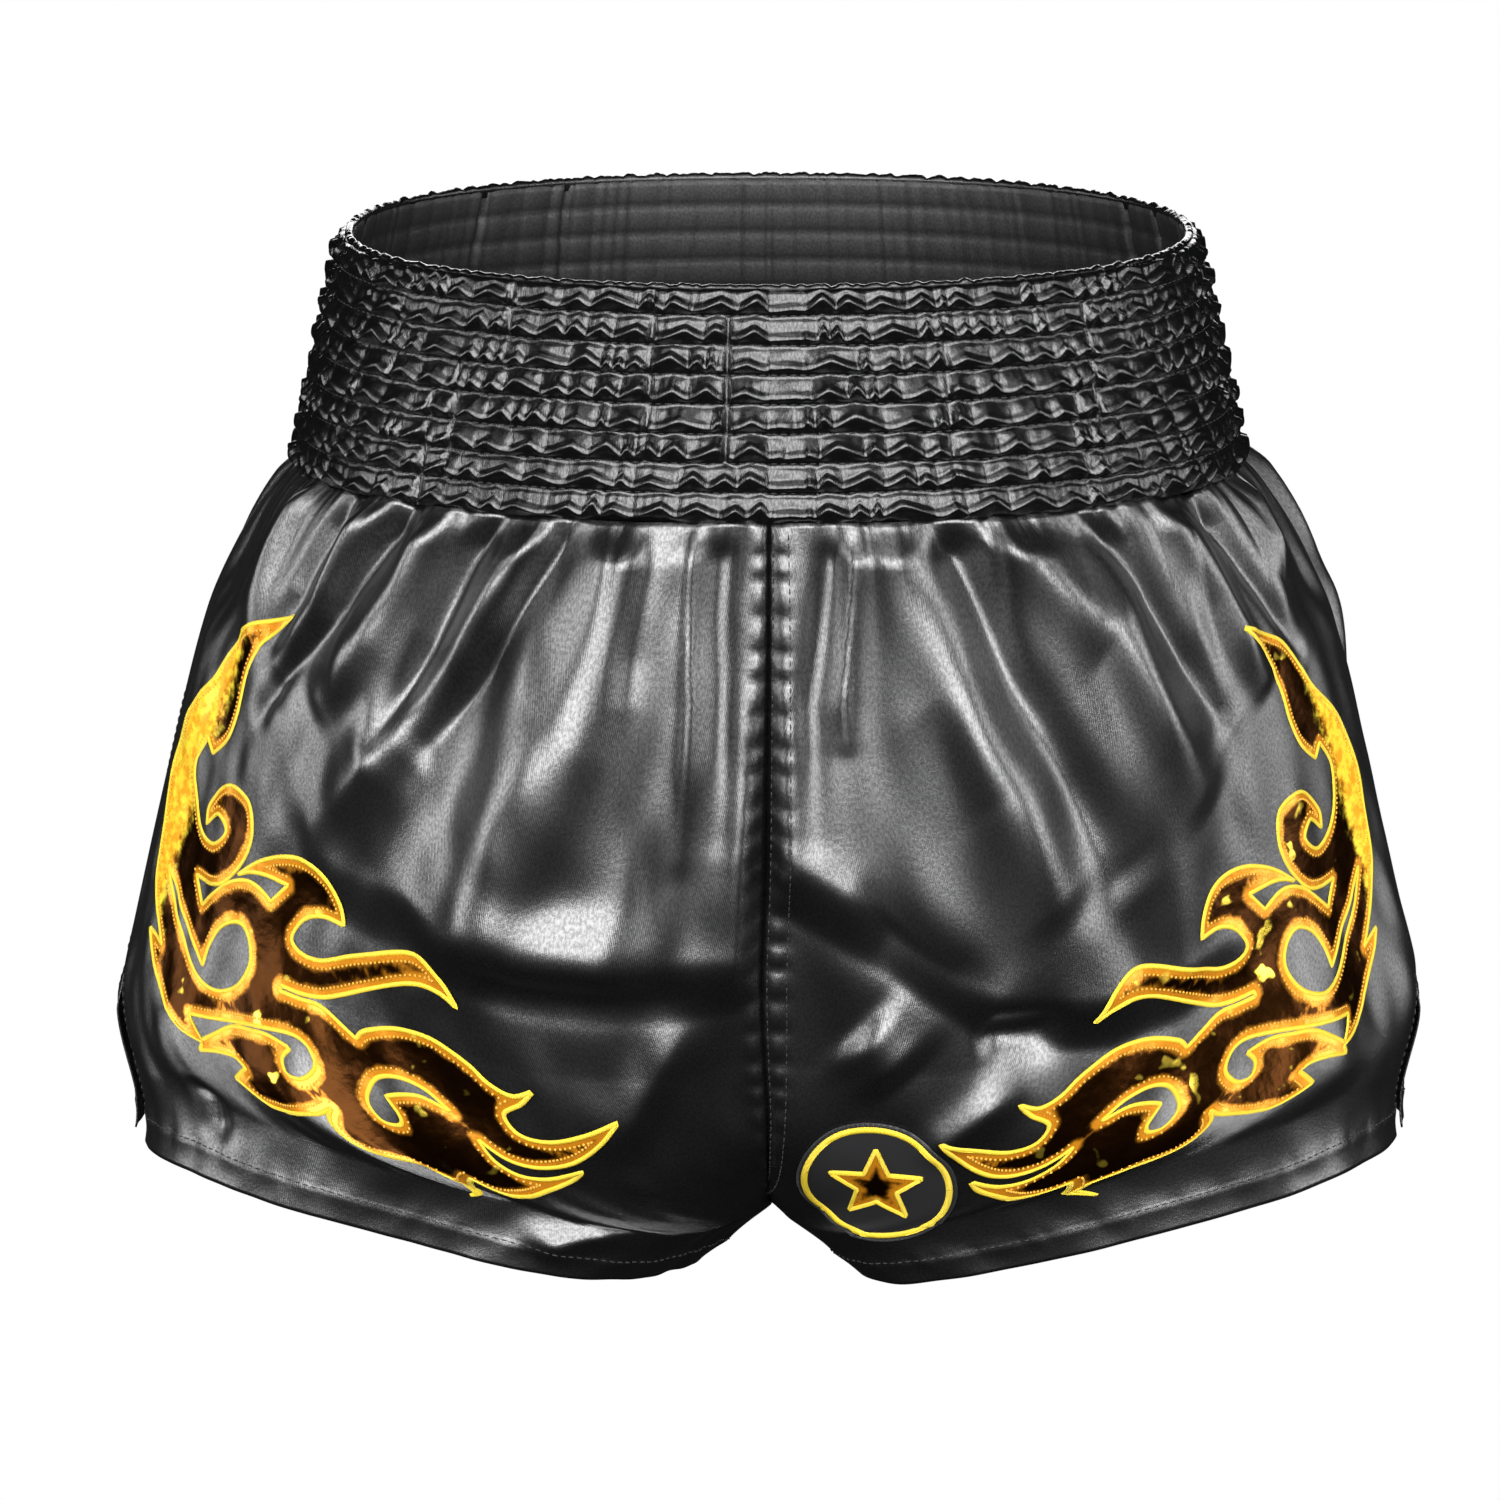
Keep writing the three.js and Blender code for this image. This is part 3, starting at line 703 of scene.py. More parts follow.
# %% Satin
def satin(name, size, roughness, gloss, dye=0.006):
    finish = Finish(name)
    place = finish.sewn_place(*size)
    grain = finish.noise(finish.stretched(place, (900, 650, 1)), 1.0, 3.0, 0.7)
    cloud = finish.noise(place, 30, 3.0)
    floats = finish.stripes(finish.stretched(place, (1, 0.35, 1)), 800, "DIAGONAL")
    colour = finish.blend(grain, (dye * 0.2, dye * 0.2, dye * 0.21), (dye, dye, dye * 1.06))
    return finish.close(
        grain * 0.8 + floats * 0.2,
        0.00022,
        0.5,
        Base_Color=colour,
        Metallic=finish.graded(grain, 0.38, 0.62) * 0.4,
        Roughness=grain * 0.10 + cloud * 0.08 + (roughness - 0.09),
        IOR=gloss,
        Specular_IOR_Level=0.5,
    )


PANEL_CUT = (0.36, 0.29)
BAND_CUT = (1.20, 0.10)
panel_satin = satin("panel satin", PANEL_CUT, 0.33, 2.3)
band_satin = satin("waistband satin", BAND_CUT, 0.25, 1.75)
lining_satin = satin("waistband lining", BAND_CUT, 0.52, 1.75, 0.020)

# %% [markdown]
# ## Gold
# Three golds meet on the flame. The foil is a mirror with light painted into its colour: a painted dark brown
# reflection over its middle, painted orange reflection towards its sewn edge, a painted bright yellow
# highlight on its outer strands and small painted glints. Bright yellow thread is packed side by side along
# the edge, and a dotted row of small stitches lies inside that. The foil reads how far a point is from the
# edge from an attribute of its mesh.


# %% Foil and thread
def gold_foil():
    finish = Finish("gold foil")
    place = finish.object_place()
    edge = finish.attribute("from_edge")
    # the outer strands of the flame, where the foil gets a painted bright yellow highlight
    outer = finish.attribute("outer_strand_highlight")
    mottle = finish.noise(place, 220, 3.0, 0.6)
    ripple = finish.noise(place, 90, 2.0, 0.5)
    # painted reflection: the middle of the foil is painted dark brown as if it mirrored darkness, and the
    # band along the sewn edge is painted orange; the mottle makes their border uneven
    inside = finish.graded(edge + mottle * 3.0, 3.2, 5.6)
    # painted highlight: the outer strands are painted bright yellow, from orange to pale gold, with little
    # metal there
    painted_strand_highlight = finish.graded(outer + mottle * 0.8, 0.75, 1.15)
    deep = finish.blend(inside, (0.80, 0.30, 0.015), (0.040, 0.013, 0.002))
    bright = finish.blend(finish.graded(mottle, 0.42, 0.62), (0.95, 0.42, 0.02), (1.0, 0.78, 0.05))
    # painted glints: pale gold spots where the ripple noise peaks, kept off the outer strands
    painted_glint = finish.graded(ripple, 0.66, 0.72) * (1 - outer)
    colour = finish.blend(painted_glint, finish.blend(painted_strand_highlight, deep, bright), (1.0, 0.72, 0.08))
    return finish.close(
        ripple * 0.8 + mottle * 0.2,
        0.0016,
        0.5,
        Base_Color=colour,
        Metallic=inside * 0.5 * (1 - painted_strand_highlight) + 0.4 * (1 - painted_strand_highlight) + 0.05,
        Roughness=mottle * 0.16 + 0.20,
    )


def packed_thread(name, dark, bright, pitch):
    finish = Finish(name)
    place = finish.sewn_place(1, 1)
    strands = finish.stripes(place, 0.314 / pitch, "X")
    worn = finish.noise(place, 900, 2.0)
    colour = finish.blend(strands * 0.6 + worn * 0.4, dark, bright)
    return finish.close(
        strands,
        0.0003,
        0.7,
        Base_Color=colour,
        Roughness=worn * 0.2 + 0.35,
    )


def sewing_thread(name, dark, bright):
    finish = Finish(name)
    place = finish.object_place()
    twist = finish.stripes(place, 420, "DIAGONAL")
    fuzz = finish.noise(place, 1500, 2.0)
    return finish.close(
        twist * 0.7 + fuzz * 0.3,
        0.0002,
        0.6,
        Base_Color=finish.blend(fuzz, dark, bright),
        Roughness=fuzz * 0.2 + 0.35,
        Sheen_Weight=0.1,
    )


foil = gold_foil()
edge_thread = packed_thread("gold edge thread", (0.95, 0.58, 0.02), (1.0, 0.88, 0.07), 0.0005)
dot_thread = sewing_thread("gold dot thread", (0.55, 0.20, 0.01), (1.0, 0.62, 0.05))
black_thread = sewing_thread("black thread", (0.004, 0.004, 0.005), (0.03, 0.03, 0.032))


# %% Woven elastic and badge ground
def ribbed(name, dark, bright, ribs):
    finish = Finish(name)
    place = finish.sewn_place(1, 1)
    rib = finish.stripes(place, ribs, "Y")
    knit = finish.stripes(place, ribs, "X")
    fuzz = finish.noise(place, 1200, 2.0)
    return finish.close(
        rib * 0.6 + knit * 0.4,
        0.0004,
        0.6,
        Base_Color=finish.blend(rib * 0.5 + fuzz * 0.5, dark, bright),
        Roughness=fuzz * 0.2 + 0.6,
    )


elastic_weave = ribbed("woven elastic", (0.03, 0.03, 0.03), (0.08, 0.08, 0.085), 300)
badge_twill = ribbed("badge twill", (0.006, 0.006, 0.007), (0.025, 0.025, 0.027), 420)

# %% [markdown]
# ## Leg panels
# Four panels of satin, each one sheet with its hem turned up. Solidify gives the sheet its thickness inwards,
# so that the hems show an edge. The vents have no seam, but their edges hang together.

# %% Panels
CLOTH_THICKNESS = 0.0007
panels = {}
for name, cloth in cloths.items():
    mesh = grid_mesh(f"{name}_satin", cloth.points)
    if cloth.is_front == cloth.is_left:
        mesh.flip_normals()
    print(name, "area", round(area_of(mesh), 4), "m2")
    panels[name] = make_piece(mesh, panel_satin, "panel_satin", [name])
    wall = panels[name].modifiers.new("hem thickness", "SOLIDIFY")
    wall.thickness = CLOTH_THICKNESS
    wall.offset = -1

# %% [markdown]
# ## Waistband
# The casing is a tube of satin sewn down over eight elastics while they are stretched. When they let go, the
# cloth between two rows of stitches stands up in uneven puffs, each with a crest that catches the light. The
# band is a ring of columns; in each channel the rows of its grid follow the crest, so the crest stays sharp.

# %% Ring around the waist
CHANNELS = 8
CHANNEL = (WAIST_TOP - WAIST_SEAM) / CHANNELS
BAND_COLUMNS = 1180
CREST_ROWS, FALL_ROWS = 4, 5
GROOVE = 0.9
PUFF = 4.6


def ring_point(angle, out, height):
    """A point outside the waist oval by a distance, at a height; the oval narrows towards the top"""
    share = (height - WAIST_SEAM) / (WAIST_TOP - WAIST_SEAM)
    across, along = rounded_square(angle, OVAL_POWER)
    x = (mix(SEAM_HALF[0], WAIST_HALF[0], share) + out) * across
    y = (mix(SEAM_HALF[1], WAIST_HALF[1], share) + out) * along + BALANCE
    return np.stack(np.broadcast_arrays(x, y, height), axis=-1)


turn = np.linspace(-np.pi / 2, 1.5 * np.pi, 4001)
loop = ring_point(turn, 0, np.full(turn.shape, (WAIST_SEAM + WAIST_TOP) / 2))
ring_travel = np.concatenate([[0], np.cumsum(np.linalg.norm(np.diff(loop, axis=0), axis=1))])
RING_LENGTH = ring_travel[-1]


def ring_angle(travel):
    """The angle at a distance along the band from the centre front, towards the wearer's left"""
    return np.interp(np.mod(travel, RING_LENGTH), ring_travel, turn)


print("waistband is", round(RING_LENGTH), "mm round")

# %% Shape of the shirring
CENTRE_STRIP = 13


def ring_creases(seed, mean, count_share):
    """Deep folds that cross several channels: place, first and last channel, depth"""
    draw = np.random.default_rng(seed)
    places = cell_edges(RING_LENGTH, mean, seed)[:-1]
    return [
        (place, draw.uniform(-2, 6), draw.uniform(2, 7), draw.uniform(2.0, 4.5))
        for place in places
        if draw.uniform() < count_share
    ]


def channel_profile(channel, travel, creases):
    """Heights and outward distances of one channel's rows, for every column"""
    edges = cell_edges(RING_LENGTH, 10.5, 100 + channel, 0.7)
    number, phase = cell_of(travel, edges)
    draw = np.random.default_rng(200 + channel)
    tall = draw.uniform(0.55, 1.15, len(edges))[number]
    crest_shift = draw.uniform(-0.12, 0.16, len(edges))[number]
    arch = np.sin(np.pi * phase) ** 0.55
    skewed = phase ** draw.uniform(0.6, 1.7, len(edges))[number]
    swing = 1 - np.abs(2 * skewed - 1)
    strip = smooth_step(travel, 0.5, 1.5) * (1 - smooth_step(travel, CENTRE_STRIP - 1, CENTRE_STRIP))
    calm = 1 - 0.8 * strip
    crest = 0.22 + (crest_shift + 0.38 * swing) * arch * calm
    wobble = 0.9 * waves(travel, travel * 0, 300 + channel, 0.6, 60)
    fine = waves(travel, travel * 0, 400 + channel, 1.0, 3.2)
    body = PUFF * (0.55 + 0.45 * arch * tall) * (1 - 0.25 * strip)
    for place, first, span, depth in creases:
        if first <= channel <= first + span:
            away = np.abs(np.mod(travel - place + RING_LENGTH / 2, RING_LENGTH) - RING_LENGTH / 2)
            body = body - depth * np.exp(-((away / 1.0) ** 2))
    rows = []
    for row in range(CREST_ROWS + FALL_ROWS):
        if row < CREST_ROWS:
            share = row / CREST_ROWS
            level = crest * share
            out = body * np.sin(share * np.pi / 2) ** 1.2
        else:
            share = (row - CREST_ROWS) / FALL_ROWS
            level = crest + (1 - crest) * share
            dip = 1 - 0.6 * np.sin(np.pi * min(share * 1.6, 1)) * (0.6 + 0.4 * np.sin(3 * phase + channel))
            out = body * (1 - share**1.1) * dip
            out = out + 0.15 * fine * np.sin(np.pi * share) * calm
        base = WAIST_SEAM + (channel + level) * CHANNEL
        line = wobble * min(1, channel + share if row else channel)
        rows.append((base + line * 0.5, GROOVE + np.maximum(out, -0.6)))
    return rows


def band_outer():
    travel = np.linspace(0, RING_LENGTH, BAND_COLUMNS + 1)
    travel[-1] = 0
    angle = ring_angle(travel)
    creases = ring_creases(7, 16, 0.6)
    rows = []
    for channel in range(CHANNELS):
        rows += channel_profile(channel, travel, creases)
    ruffle = waves(travel, travel * 0, 77, 0.35, 7) + 0.5 * puffs(travel, cell_edges(RING_LENGTH, 4.2, 78))
    radius = (GROOVE + 2.0) / 2
    for step in range(9):
        roll = np.pi * step / 8
        height = WAIST_TOP - radius + radius * np.sin(roll) + ruffle * (0.3 + 0.7 * np.sin(roll))
        rows.append((height, radius * np.cos(roll) - radius + GROOVE + 0.5 * ruffle * np.sin(roll)))
    rows.append((rows[-1][0] - 3, rows[-1][1] + 0.2))
    return np.stack([ring_point(angle, out, height) for height, out in reversed(rows)])


# %% Waistband pieces
def ring_mesh(name, points, flip):
    mesh = merged(grid_mesh(name, points))
    if flip:
        mesh.flip_normals()
    return mesh


band_mesh = ring_mesh("waistband_outer_satin", band_outer(), False)
print("waistband outside area", round(area_of(band_mesh), 4), "m2,", len(band_mesh.polygons), "faces")
band = make_piece(band_mesh, band_satin, "waistband_satin", ["waistband_casing"])

# %% [markdown]
# ### Inside of the waistband
# The inner face lies on the wearer. The elastics pull it into upright creases with flat cloth between them,
# and each row of stitches leaves a faint line. Over the centre back seam it lies flat.

# %% Inner face
INNER_COLUMNS, INNER_ROWS = 760, 56
INNER_FACE = -2.0


def band_inner():
    travel = np.linspace(0, RING_LENGTH, INNER_COLUMNS + 1)
    travel[-1] = 0
    angle = ring_angle(travel)
    from_back = np.abs(travel - RING_LENGTH / 2)
    patch = 1 - smooth_step(from_back, 9, 10.5)
    upright = puffs(travel, cell_edges(RING_LENGTH, 9, 501, 0.7), 0.35)
    upright = mix(upright, 1.0, 0.75 * patch)
    deep = ring_creases(502, 26, 0.8)
    rows = []
    for row in range(INNER_ROWS + 1):
        share = row / INNER_ROWS
        level = CHANNELS * (1 - share)
        height = WAIST_TOP - 1.2 - (WAIST_TOP - 1.2 - WAIST_SEAM) * share
        drift = 1.6 * np.sin(level * 1.3 + travel / 19)
        crossing = puffs(travel + drift, cell_edges(RING_LENGTH, 13, 503, 0.6), 0.3)
        relief = 0.7 * upright + 0.5 * crossing + 0.5 * abs(math.sin(math.pi * level)) ** 0.5 + 0.4 * patch
        for place, first, span, depth in deep:
            if first <= level <= first + span:
                away = np.abs(travel + drift * 0.4 - place)
                relief = relief - 0.9 * depth * np.exp(-((away / 0.9) ** 2))
        relief = relief - 0.6 * np.exp(-((from_back / 0.8) ** 2))
        out = INNER_FACE + 0.9 - relief * (1 if row else 0.3)
        rows.append(ring_point(angle, out, np.full(travel.shape, height)))
    return np.stack(rows)


inner_mesh = ring_mesh("waistband_lining", band_inner(), True)
print("waistband inside area", round(area_of(inner_mesh), 4), "m2")
lining = make_piece(inner_mesh, lining_satin, "waistband_satin")

# %% Elastics
ELASTIC_STEPS = 160


def elastic_ring(number):
    foot = WAIST_SEAM + number * CHANNEL + 1.3
    head = foot + CHANNEL - (3.8 if number == CHANNELS - 1 else 2.6)
    angle = np.linspace(0, 2 * np.pi, ELASTIC_STEPS + 1)
    profile = [(-0.4, foot), (0.3, foot), (0.3, head), (-0.4, head), (-0.4, foot)]
    rows = [ring_point(angle, out, np.full(angle.shape, height)) for out, height in profile]
    mesh = merged(grid_mesh(f"elastic_{number + 1}", np.stack(rows)), 0.00005)
    body = bmesh.new()
    body.from_mesh(mesh)
    bmesh.ops.recalc_face_normals(body, faces=body.faces)
    body.to_mesh(mesh)
    body.free()
    return mesh


elastics = [
    make_piece(elastic_ring(number), elastic_weave, "elastic", [f"elastic_band_{number + 1}"])
    for number in range(CHANNELS)
]

# %% [markdown]
# ## Stitches
# A row of stitches is a line of small spindles of thread, each a little shorter than the distance to the
# next. An icosphere of twenty faces stretched along the row is enough for one.

# %% Stitch rows
STITCH_PITCH = 3.2


def evenly(points, pitch):
    """Places every pitch along a line of points, and the direction there"""
    travelled = np.concatenate([[0], np.cumsum(np.linalg.norm(np.diff(points, axis=0), axis=1))])
    places = np.arange(pitch / 2, travelled[-1], pitch)
    spots = np.stack([np.interp(places, travelled, points[:, axis]) for axis in range(3)], axis=-1)
    ahead = np.stack([np.interp(places + 0.5, travelled, points[:, axis]) for axis in range(3)], axis=-1)
    behind = np.stack([np.interp(places - 0.5, travelled, points[:, axis]) for axis in range(3)], axis=-1)
    return spots, ahead - behind


def stitch_mesh(name, lines, pitch=STITCH_PITCH, length=2.5, thickness=0.55):
    body = bmesh.new()
    for line in lines:
        for spot, direction in zip(*evenly(line, pitch)):
            turn_to = Vector(direction).to_track_quat("X", "Z").to_matrix().to_4x4()
            size = Matrix.Diagonal((length / 2 * MM, thickness / 2 * MM, thickness / 2 * MM, 1))
            place = Matrix.Translation(Vector(spot) * MM) @ turn_to @ size
            bmesh.ops.create_icosphere(body, subdivisions=1, radius=1.0, matrix=place)
    mesh = bpy.data.meshes.new(name)
    body.to_mesh(mesh)
    body.free()
    return mesh


def along_t(cloth, s, start, end, lift):
    t = np.linspace(start, end, 160)
    return cloth.at(np.full(t.shape, s) if np.isscalar(s) else s(t), t, lift)


def along_s(cloth, t, start, end, lift):
    s = np.linspace(start, end, 200)
    return cloth.at(s, np.full(s.shape, t), lift)


HEM_STITCH, VENT_STITCH = 0.955, 0.055
THREAD_LIFT = 0.15
threads = {}
for face in ("front", "back"):
    for side in ("right", "left"):
        cloth = cloths[f"{face}_panel_{side}"]
        hem = along_s(cloth, HEM_STITCH, 0.03, 0.99, THREAD_LIFT)
        vent = along_t(cloth, VENT_STITCH, VENT_ROW, HEM_STITCH, THREAD_LIFT)
        for kind, line in (("hem", hem), ("vent", vent)):
            node = f"{kind}_thread_{face}_{side}"
            mesh = stitch_mesh(f"{node}_stitches", [line])
            threads[node] = make_piece(mesh, black_thread, "black_thread", [node])

# %% Rise and side seams
RISE_ROWS = {"inner": 1.6, "outer": 7.5}
for face in ("front", "back"):
    cloth = cloths[f"{face}_panel_left"]
    for row, from_centre in RISE_ROWS.items():
        node = f"rise_thread_{face}_{row}"
        line = along_t(cloth, 1 - from_centre / PANEL_WIDTH, 0.01, CROTCH_ROW, THREAD_LIFT)
        mesh = stitch_mesh(f"{node}_stitches", [line])
        threads[node] = make_piece(mesh, black_thread, "black_thread", [node])
for side in ("right", "left"):
    node = f"side_seam_thread_{side}"
    line = along_t(cloths[f"back_panel_{side}"], 0.02, 0.02, VENT_ROW - 0.02, THREAD_LIFT)
    threads[node] = make_piece(stitch_mesh(f"{node}_stitches", [line]), black_thread, "black_thread", [node])

# %% Shirring rows
for row in range(1, CHANNELS):
    node = f"shirring_thread_{row}"
    angle = ring_angle(np.linspace(0, RING_LENGTH, 400))
    line = ring_point(angle, GROOVE + 0.25, np.full(angle.shape, WAIST_SEAM + row * CHANNEL))
    mesh = stitch_mesh(f"{node}_stitches", [line], 3.4, 2.6, 0.5)
    threads[node] = make_piece(mesh, black_thread, "black_thread", [node])
print("rows of stitches:", len(threads))


# %% [markdown]
# ## Flame appliques
# The flame is cut from foil, laid on the leg and sewn down round its edge. Its outline is a chain of smooth
# strokes in the panel's own flat millimetres; corners lie only between strokes. The outline is filled, sliced
# into small cells so that it can bend, and laid on the cloth of the leg.

# %% Flame outline
FLAME_START = [101, 210]
FLAME_STROKES = [
    [[96, 206], [87, 198], [81, 186], [80, 173], [76, 163], [67, 155]],
    [[61, 159]],
    [[55, 149], [59, 138], [69, 128], [82, 126], [90, 133], [82, 137], [74, 131]],
    [[73, 138], [84, 148], [100, 147], [106, 138], [104, 127], [96, 117], [86, 113], [74, 112]],
    [[83, 104]],
    [[90, 110], [98, 117], [106, 121], [114, 122], [123, 120]],
    [[129, 128]],
    [[117, 127], [109, 125], [103, 122]],
    [[110, 128], [118, 133], [128, 137], [138, 138], [147, 136], [153, 131], [156, 125]],
    [[146, 124], [139, 120], [136, 113], [141, 110], [150, 111], [161, 117], [176, 124], [186, 126],
     [196, 122], [203, 115]],
    [[196, 118], [187, 118], [177, 114], [160, 104], [152, 100], [144, 98], [135, 97]],
    [[134, 95]],
    [[143, 96], [151, 97], [158, 95], [165, 92]],
    [[169, 96], [181, 101], [194, 102], [205, 98], [212, 93], [219, 91], [226, 94]],
    [[221, 89], [214, 84], [217, 78], [226, 77], [238, 81], [251, 87]],
    [[244, 79], [237, 73], [228, 68], [219, 66], [210, 67], [202, 72]],
    [[205, 65], [212, 61], [223, 62], [235, 67]],
    [[229, 62], [217, 56], [204, 50], [194, 48], [187, 51]],
    [[156, 28]],
    [[167, 40], [168, 43], [160, 45], [149, 44], [143, 47], [143, 55], [148, 62]],
    [[141, 57], [132, 53], [122, 49], [113, 47], [101, 50]],
    [[112, 59]],
    [[107, 60], [98, 58], [86, 54]],
    [[89, 58]],
    [[79, 59], [72, 62], [65, 66], [56, 72], [48, 78], [43, 84]],
    [[57, 81]],
    [[50, 87], [41, 96], [34, 106], [31, 122], [28, 140], [37, 161], [55, 179], [67, 196], [79, 203],
     [91, 207], [101, 210]],
]
FLAME_HOLES = [
  {
    "start": [48, 108],
    "strokes": [
      [[57, 103], [67, 97], [78, 92], [90, 86]],
      [[93, 94], [99, 102], [108, 107], [115, 105], [118, 98], [114, 90], [107, 84], [97, 80], [85, 82],
        [72, 89], [58, 98], [48, 108]],
    ],
  },
  {
    "start": [195, 79],
    "strokes": [
      [[188, 84], [179, 85], [171, 82], [166, 76], [164, 70], [167, 65], [173, 66], [175, 70], [172, 76]],
      [[178, 79], [186, 81], [195, 79]],
    ],
  },
  {
    "start": [84, 67],
    "strokes": [
      [[89, 59]],
      [[98, 65], [107, 71], [118, 75], [128, 78], [138, 78]],
      [[134, 73], [135, 68], [141, 69], [147, 76], [145, 82], [138, 83], [124, 79], [110, 74], [97, 70],
        [84, 67]],
    ],
  },
]
SPLINE_STEPS = 7


def right_leg(points):
    return points


def left_leg(points):
    """The left flame was sewn a little lower towards the centre"""
    across, up = points[:, 0], points[:, 1]
    return np.stack([0.93 * across + 0.08 * up + 1, up - 0.05 * across + 4], axis=1)


def smooth_stroke(points):
    """A Catmull-Rom curve through the points, without its last point"""
    padded = np.vstack([points[:1], points, points[-1:]])
    shares = np.arange(SPLINE_STEPS)[:, None] / SPLINE_STEPS
    pieces = []
    for before, start, end, after in zip(padded, padded[1:], padded[2:], padded[3:]):
        leave, arrive = (end - before) / 2, (after - start) / 2
        cubic = 2 * start - 2 * end + leave + arrive
        square = -3 * start + 3 * end - 2 * leave - arrive
        pieces.append(cubic * shares**3 + square * shares**2 + leave * shares + start)
    return np.vstack(pieces)


def outline_of(start, strokes, on_leg):
    points, here = [], start
    for stroke in strokes:
        points.append(smooth_stroke(on_leg(np.array([here, *stroke], float))))
        here = stroke[-1]
    return np.vstack(points)


# %% Cutting and laying foil
CELL = 3.0
FOIL_LIFT = 0.5


def inside_outline(points, outline):
    """Which points lie inside a closed outline, by counting crossings"""
    x, y = points[:, :1], points[:, 1:]
    first, second = outline, np.roll(outline, -1, axis=0)
    crosses = (first[:, 1] > y) != (second[:, 1] > y)
    rise = np.where(second[:, 1] == first[:, 1], 1e-9, second[:, 1] - first[:, 1])
    reach = (second[:, 0] - first[:, 0]) * (y - first[:, 1]) / rise + first[:, 0]
    return (crosses & (x < reach)).sum(axis=1) % 2 == 1


def edge_distance(points, outlines):
    """The distance of each point from the nearest stretch of any outline"""
    nearest = np.full(len(points), np.inf)
    for outline in outlines:
        first, second = outline, np.roll(outline, -1, axis=0)
        line = second - first
        length = np.maximum((line**2).sum(axis=1), 1e-9)
        for part in range(0, len(points), 4000):
            spot = points[part : part + 4000, None]
            along = np.clip(((spot - first) * line).sum(axis=2) / length, 0, 1)
            gap = np.linalg.norm(spot - first - along[..., None] * line, axis=2).min(axis=1)
            nearest[part : part + 4000] = np.minimum(nearest[part : part + 4000], gap)
    return nearest


def cut_sheet(name, outlines, cell):
    """A flat sheet inside the first outline and outside the others, sliced into cells"""
    body = bmesh.new()
    for outline in outlines:
        corners = [body.verts.new((*point, 0)) for point in outline]
        for first, second in zip(corners, corners[1:] + corners[:1]):
            body.edges.new((first, second))
    bmesh.ops.triangle_fill(body, use_beauty=True, edges=body.edges)
    low, high = outlines[0].min(axis=0), outlines[0].max(axis=0)
    for axis in (0, 1):
        normal = [0, 0, 0]
        normal[axis] = 1
        for place in np.arange(low[axis] + cell / 2, high[axis], cell):
            spot = [0, 0, 0]
            spot[axis] = place
            everything = [*body.verts, *body.edges, *body.faces]
            bmesh.ops.bisect_plane(body, geom=everything, plane_co=spot, plane_no=normal, dist=1e-5)
    for face in body.faces:
        if face.normal.z < 0:
            face.normal_flip()
    mesh = bpy.data.meshes.new(name)
    body.to_mesh(mesh)
    body.free()
    return mesh


def flat_places(mesh):
    flat = np.empty(len(mesh.vertices) * 3)
    mesh.vertices.foreach_get("co", flat)
    return flat.reshape(-1, 3)[:, :2]


def lay(mesh, place, lift, mirror):
    """Moves a flat mesh on to the cloth; a mirrored leg turns its faces round"""
    flat = flat_places(mesh)
    mesh.vertices.foreach_set("co", (place(flat, np.full(len(flat), lift)) * MM).ravel())
    if mirror:
        mesh.flip_normals()
    mesh.update()
    return mesh


def on_panel(cloth):
    def place(flat, lift):
        return cloth.at(flat[:, 0] / PANEL_WIDTH, 1 - flat[:, 1] / PANEL_HEIGHT, lift)

    return place


def set_attribute(mesh, name, values):
    attribute = mesh.attributes.new(name, "FLOAT", "POINT")
    attribute.data.foreach_set("value", values)


# %% Edging and dots
EDGE_WIDTH = 1.5
EDGE_STEP = 0.9
DOT_INSET, DOT_PITCH = 2.5, 1.7


def inward_normals(points):
    ahead = np.roll(points, -1, axis=0) - np.roll(points, 1, axis=0)
    ahead = ahead / np.maximum(np.linalg.norm(ahead, axis=1, keepdims=True), 1e-9)
    return np.stack([-ahead[:, 1], ahead[:, 0]], axis=1)


def even_outline(outline, step):
    closed = np.vstack([outline, outline[:1]])
    flat = np.hstack([closed, np.zeros((len(closed), 1))])
    spots, _ = evenly(flat, step)
    return spots[:, :2]


def edging_mesh(name, outlines, place, width, height, mirror):
    """Satin stitch round each outline: a low rounded band, its UV map counting millimetres of thread"""
    bands = []
    for number, outline in enumerate(outlines):
        line = even_outline(outline, EDGE_STEP)
        line = np.vstack([line, line[:1]])
        sideways = inward_normals(line[:-1])
        sideways = np.vstack([sideways, sideways[:1]])
        profile = [(-0.5, 0.15), (-0.36, 0.8), (0, 1), (0.36, 0.8), (0.5, 0.15)]
        rows = []
        for across, up in profile:
            lift = np.full(len(line), 0.3 + up * height)
            rows.append(place(line + sideways * across * width, lift))
        band = grid_mesh(f"{name}_{number}", np.stack(rows))
        loops = np.empty(len(band.loops) * 2)
        band.uv_layers[0].data.foreach_get("uv", loops)
        loops = loops.reshape(-1, 2) * (len(line) * EDGE_STEP * MM, width * MM)
        band.uv_layers[0].data.foreach_set("uv", loops.ravel())
        bands.append(band)
    body = bmesh.new()
    for band in bands:
        body.from_mesh(band)
        bpy.data.meshes.remove(band)
    bmesh.ops.remove_doubles(body, verts=body.verts, dist=0.00002)
    mesh = bpy.data.meshes.new(name)
    body.to_mesh(mesh)
    body.free()
    face_outward(mesh, mirror)
    return mesh


def face_outward(mesh, mirror):
    """The panels of the front face -Y; each face of a low band is turned to agree with that"""
    body = bmesh.new()
    body.from_mesh(mesh)
    for face in body.faces:
        middle = face.calc_center_median()
        away = Vector((middle.x - (0.11 if mirror else -0.11), middle.y * 2.2 - 0.02, 0))
        if face.normal.dot(away) < 0:
            face.normal_flip()
    body.to_mesh(mesh)
    body.free()


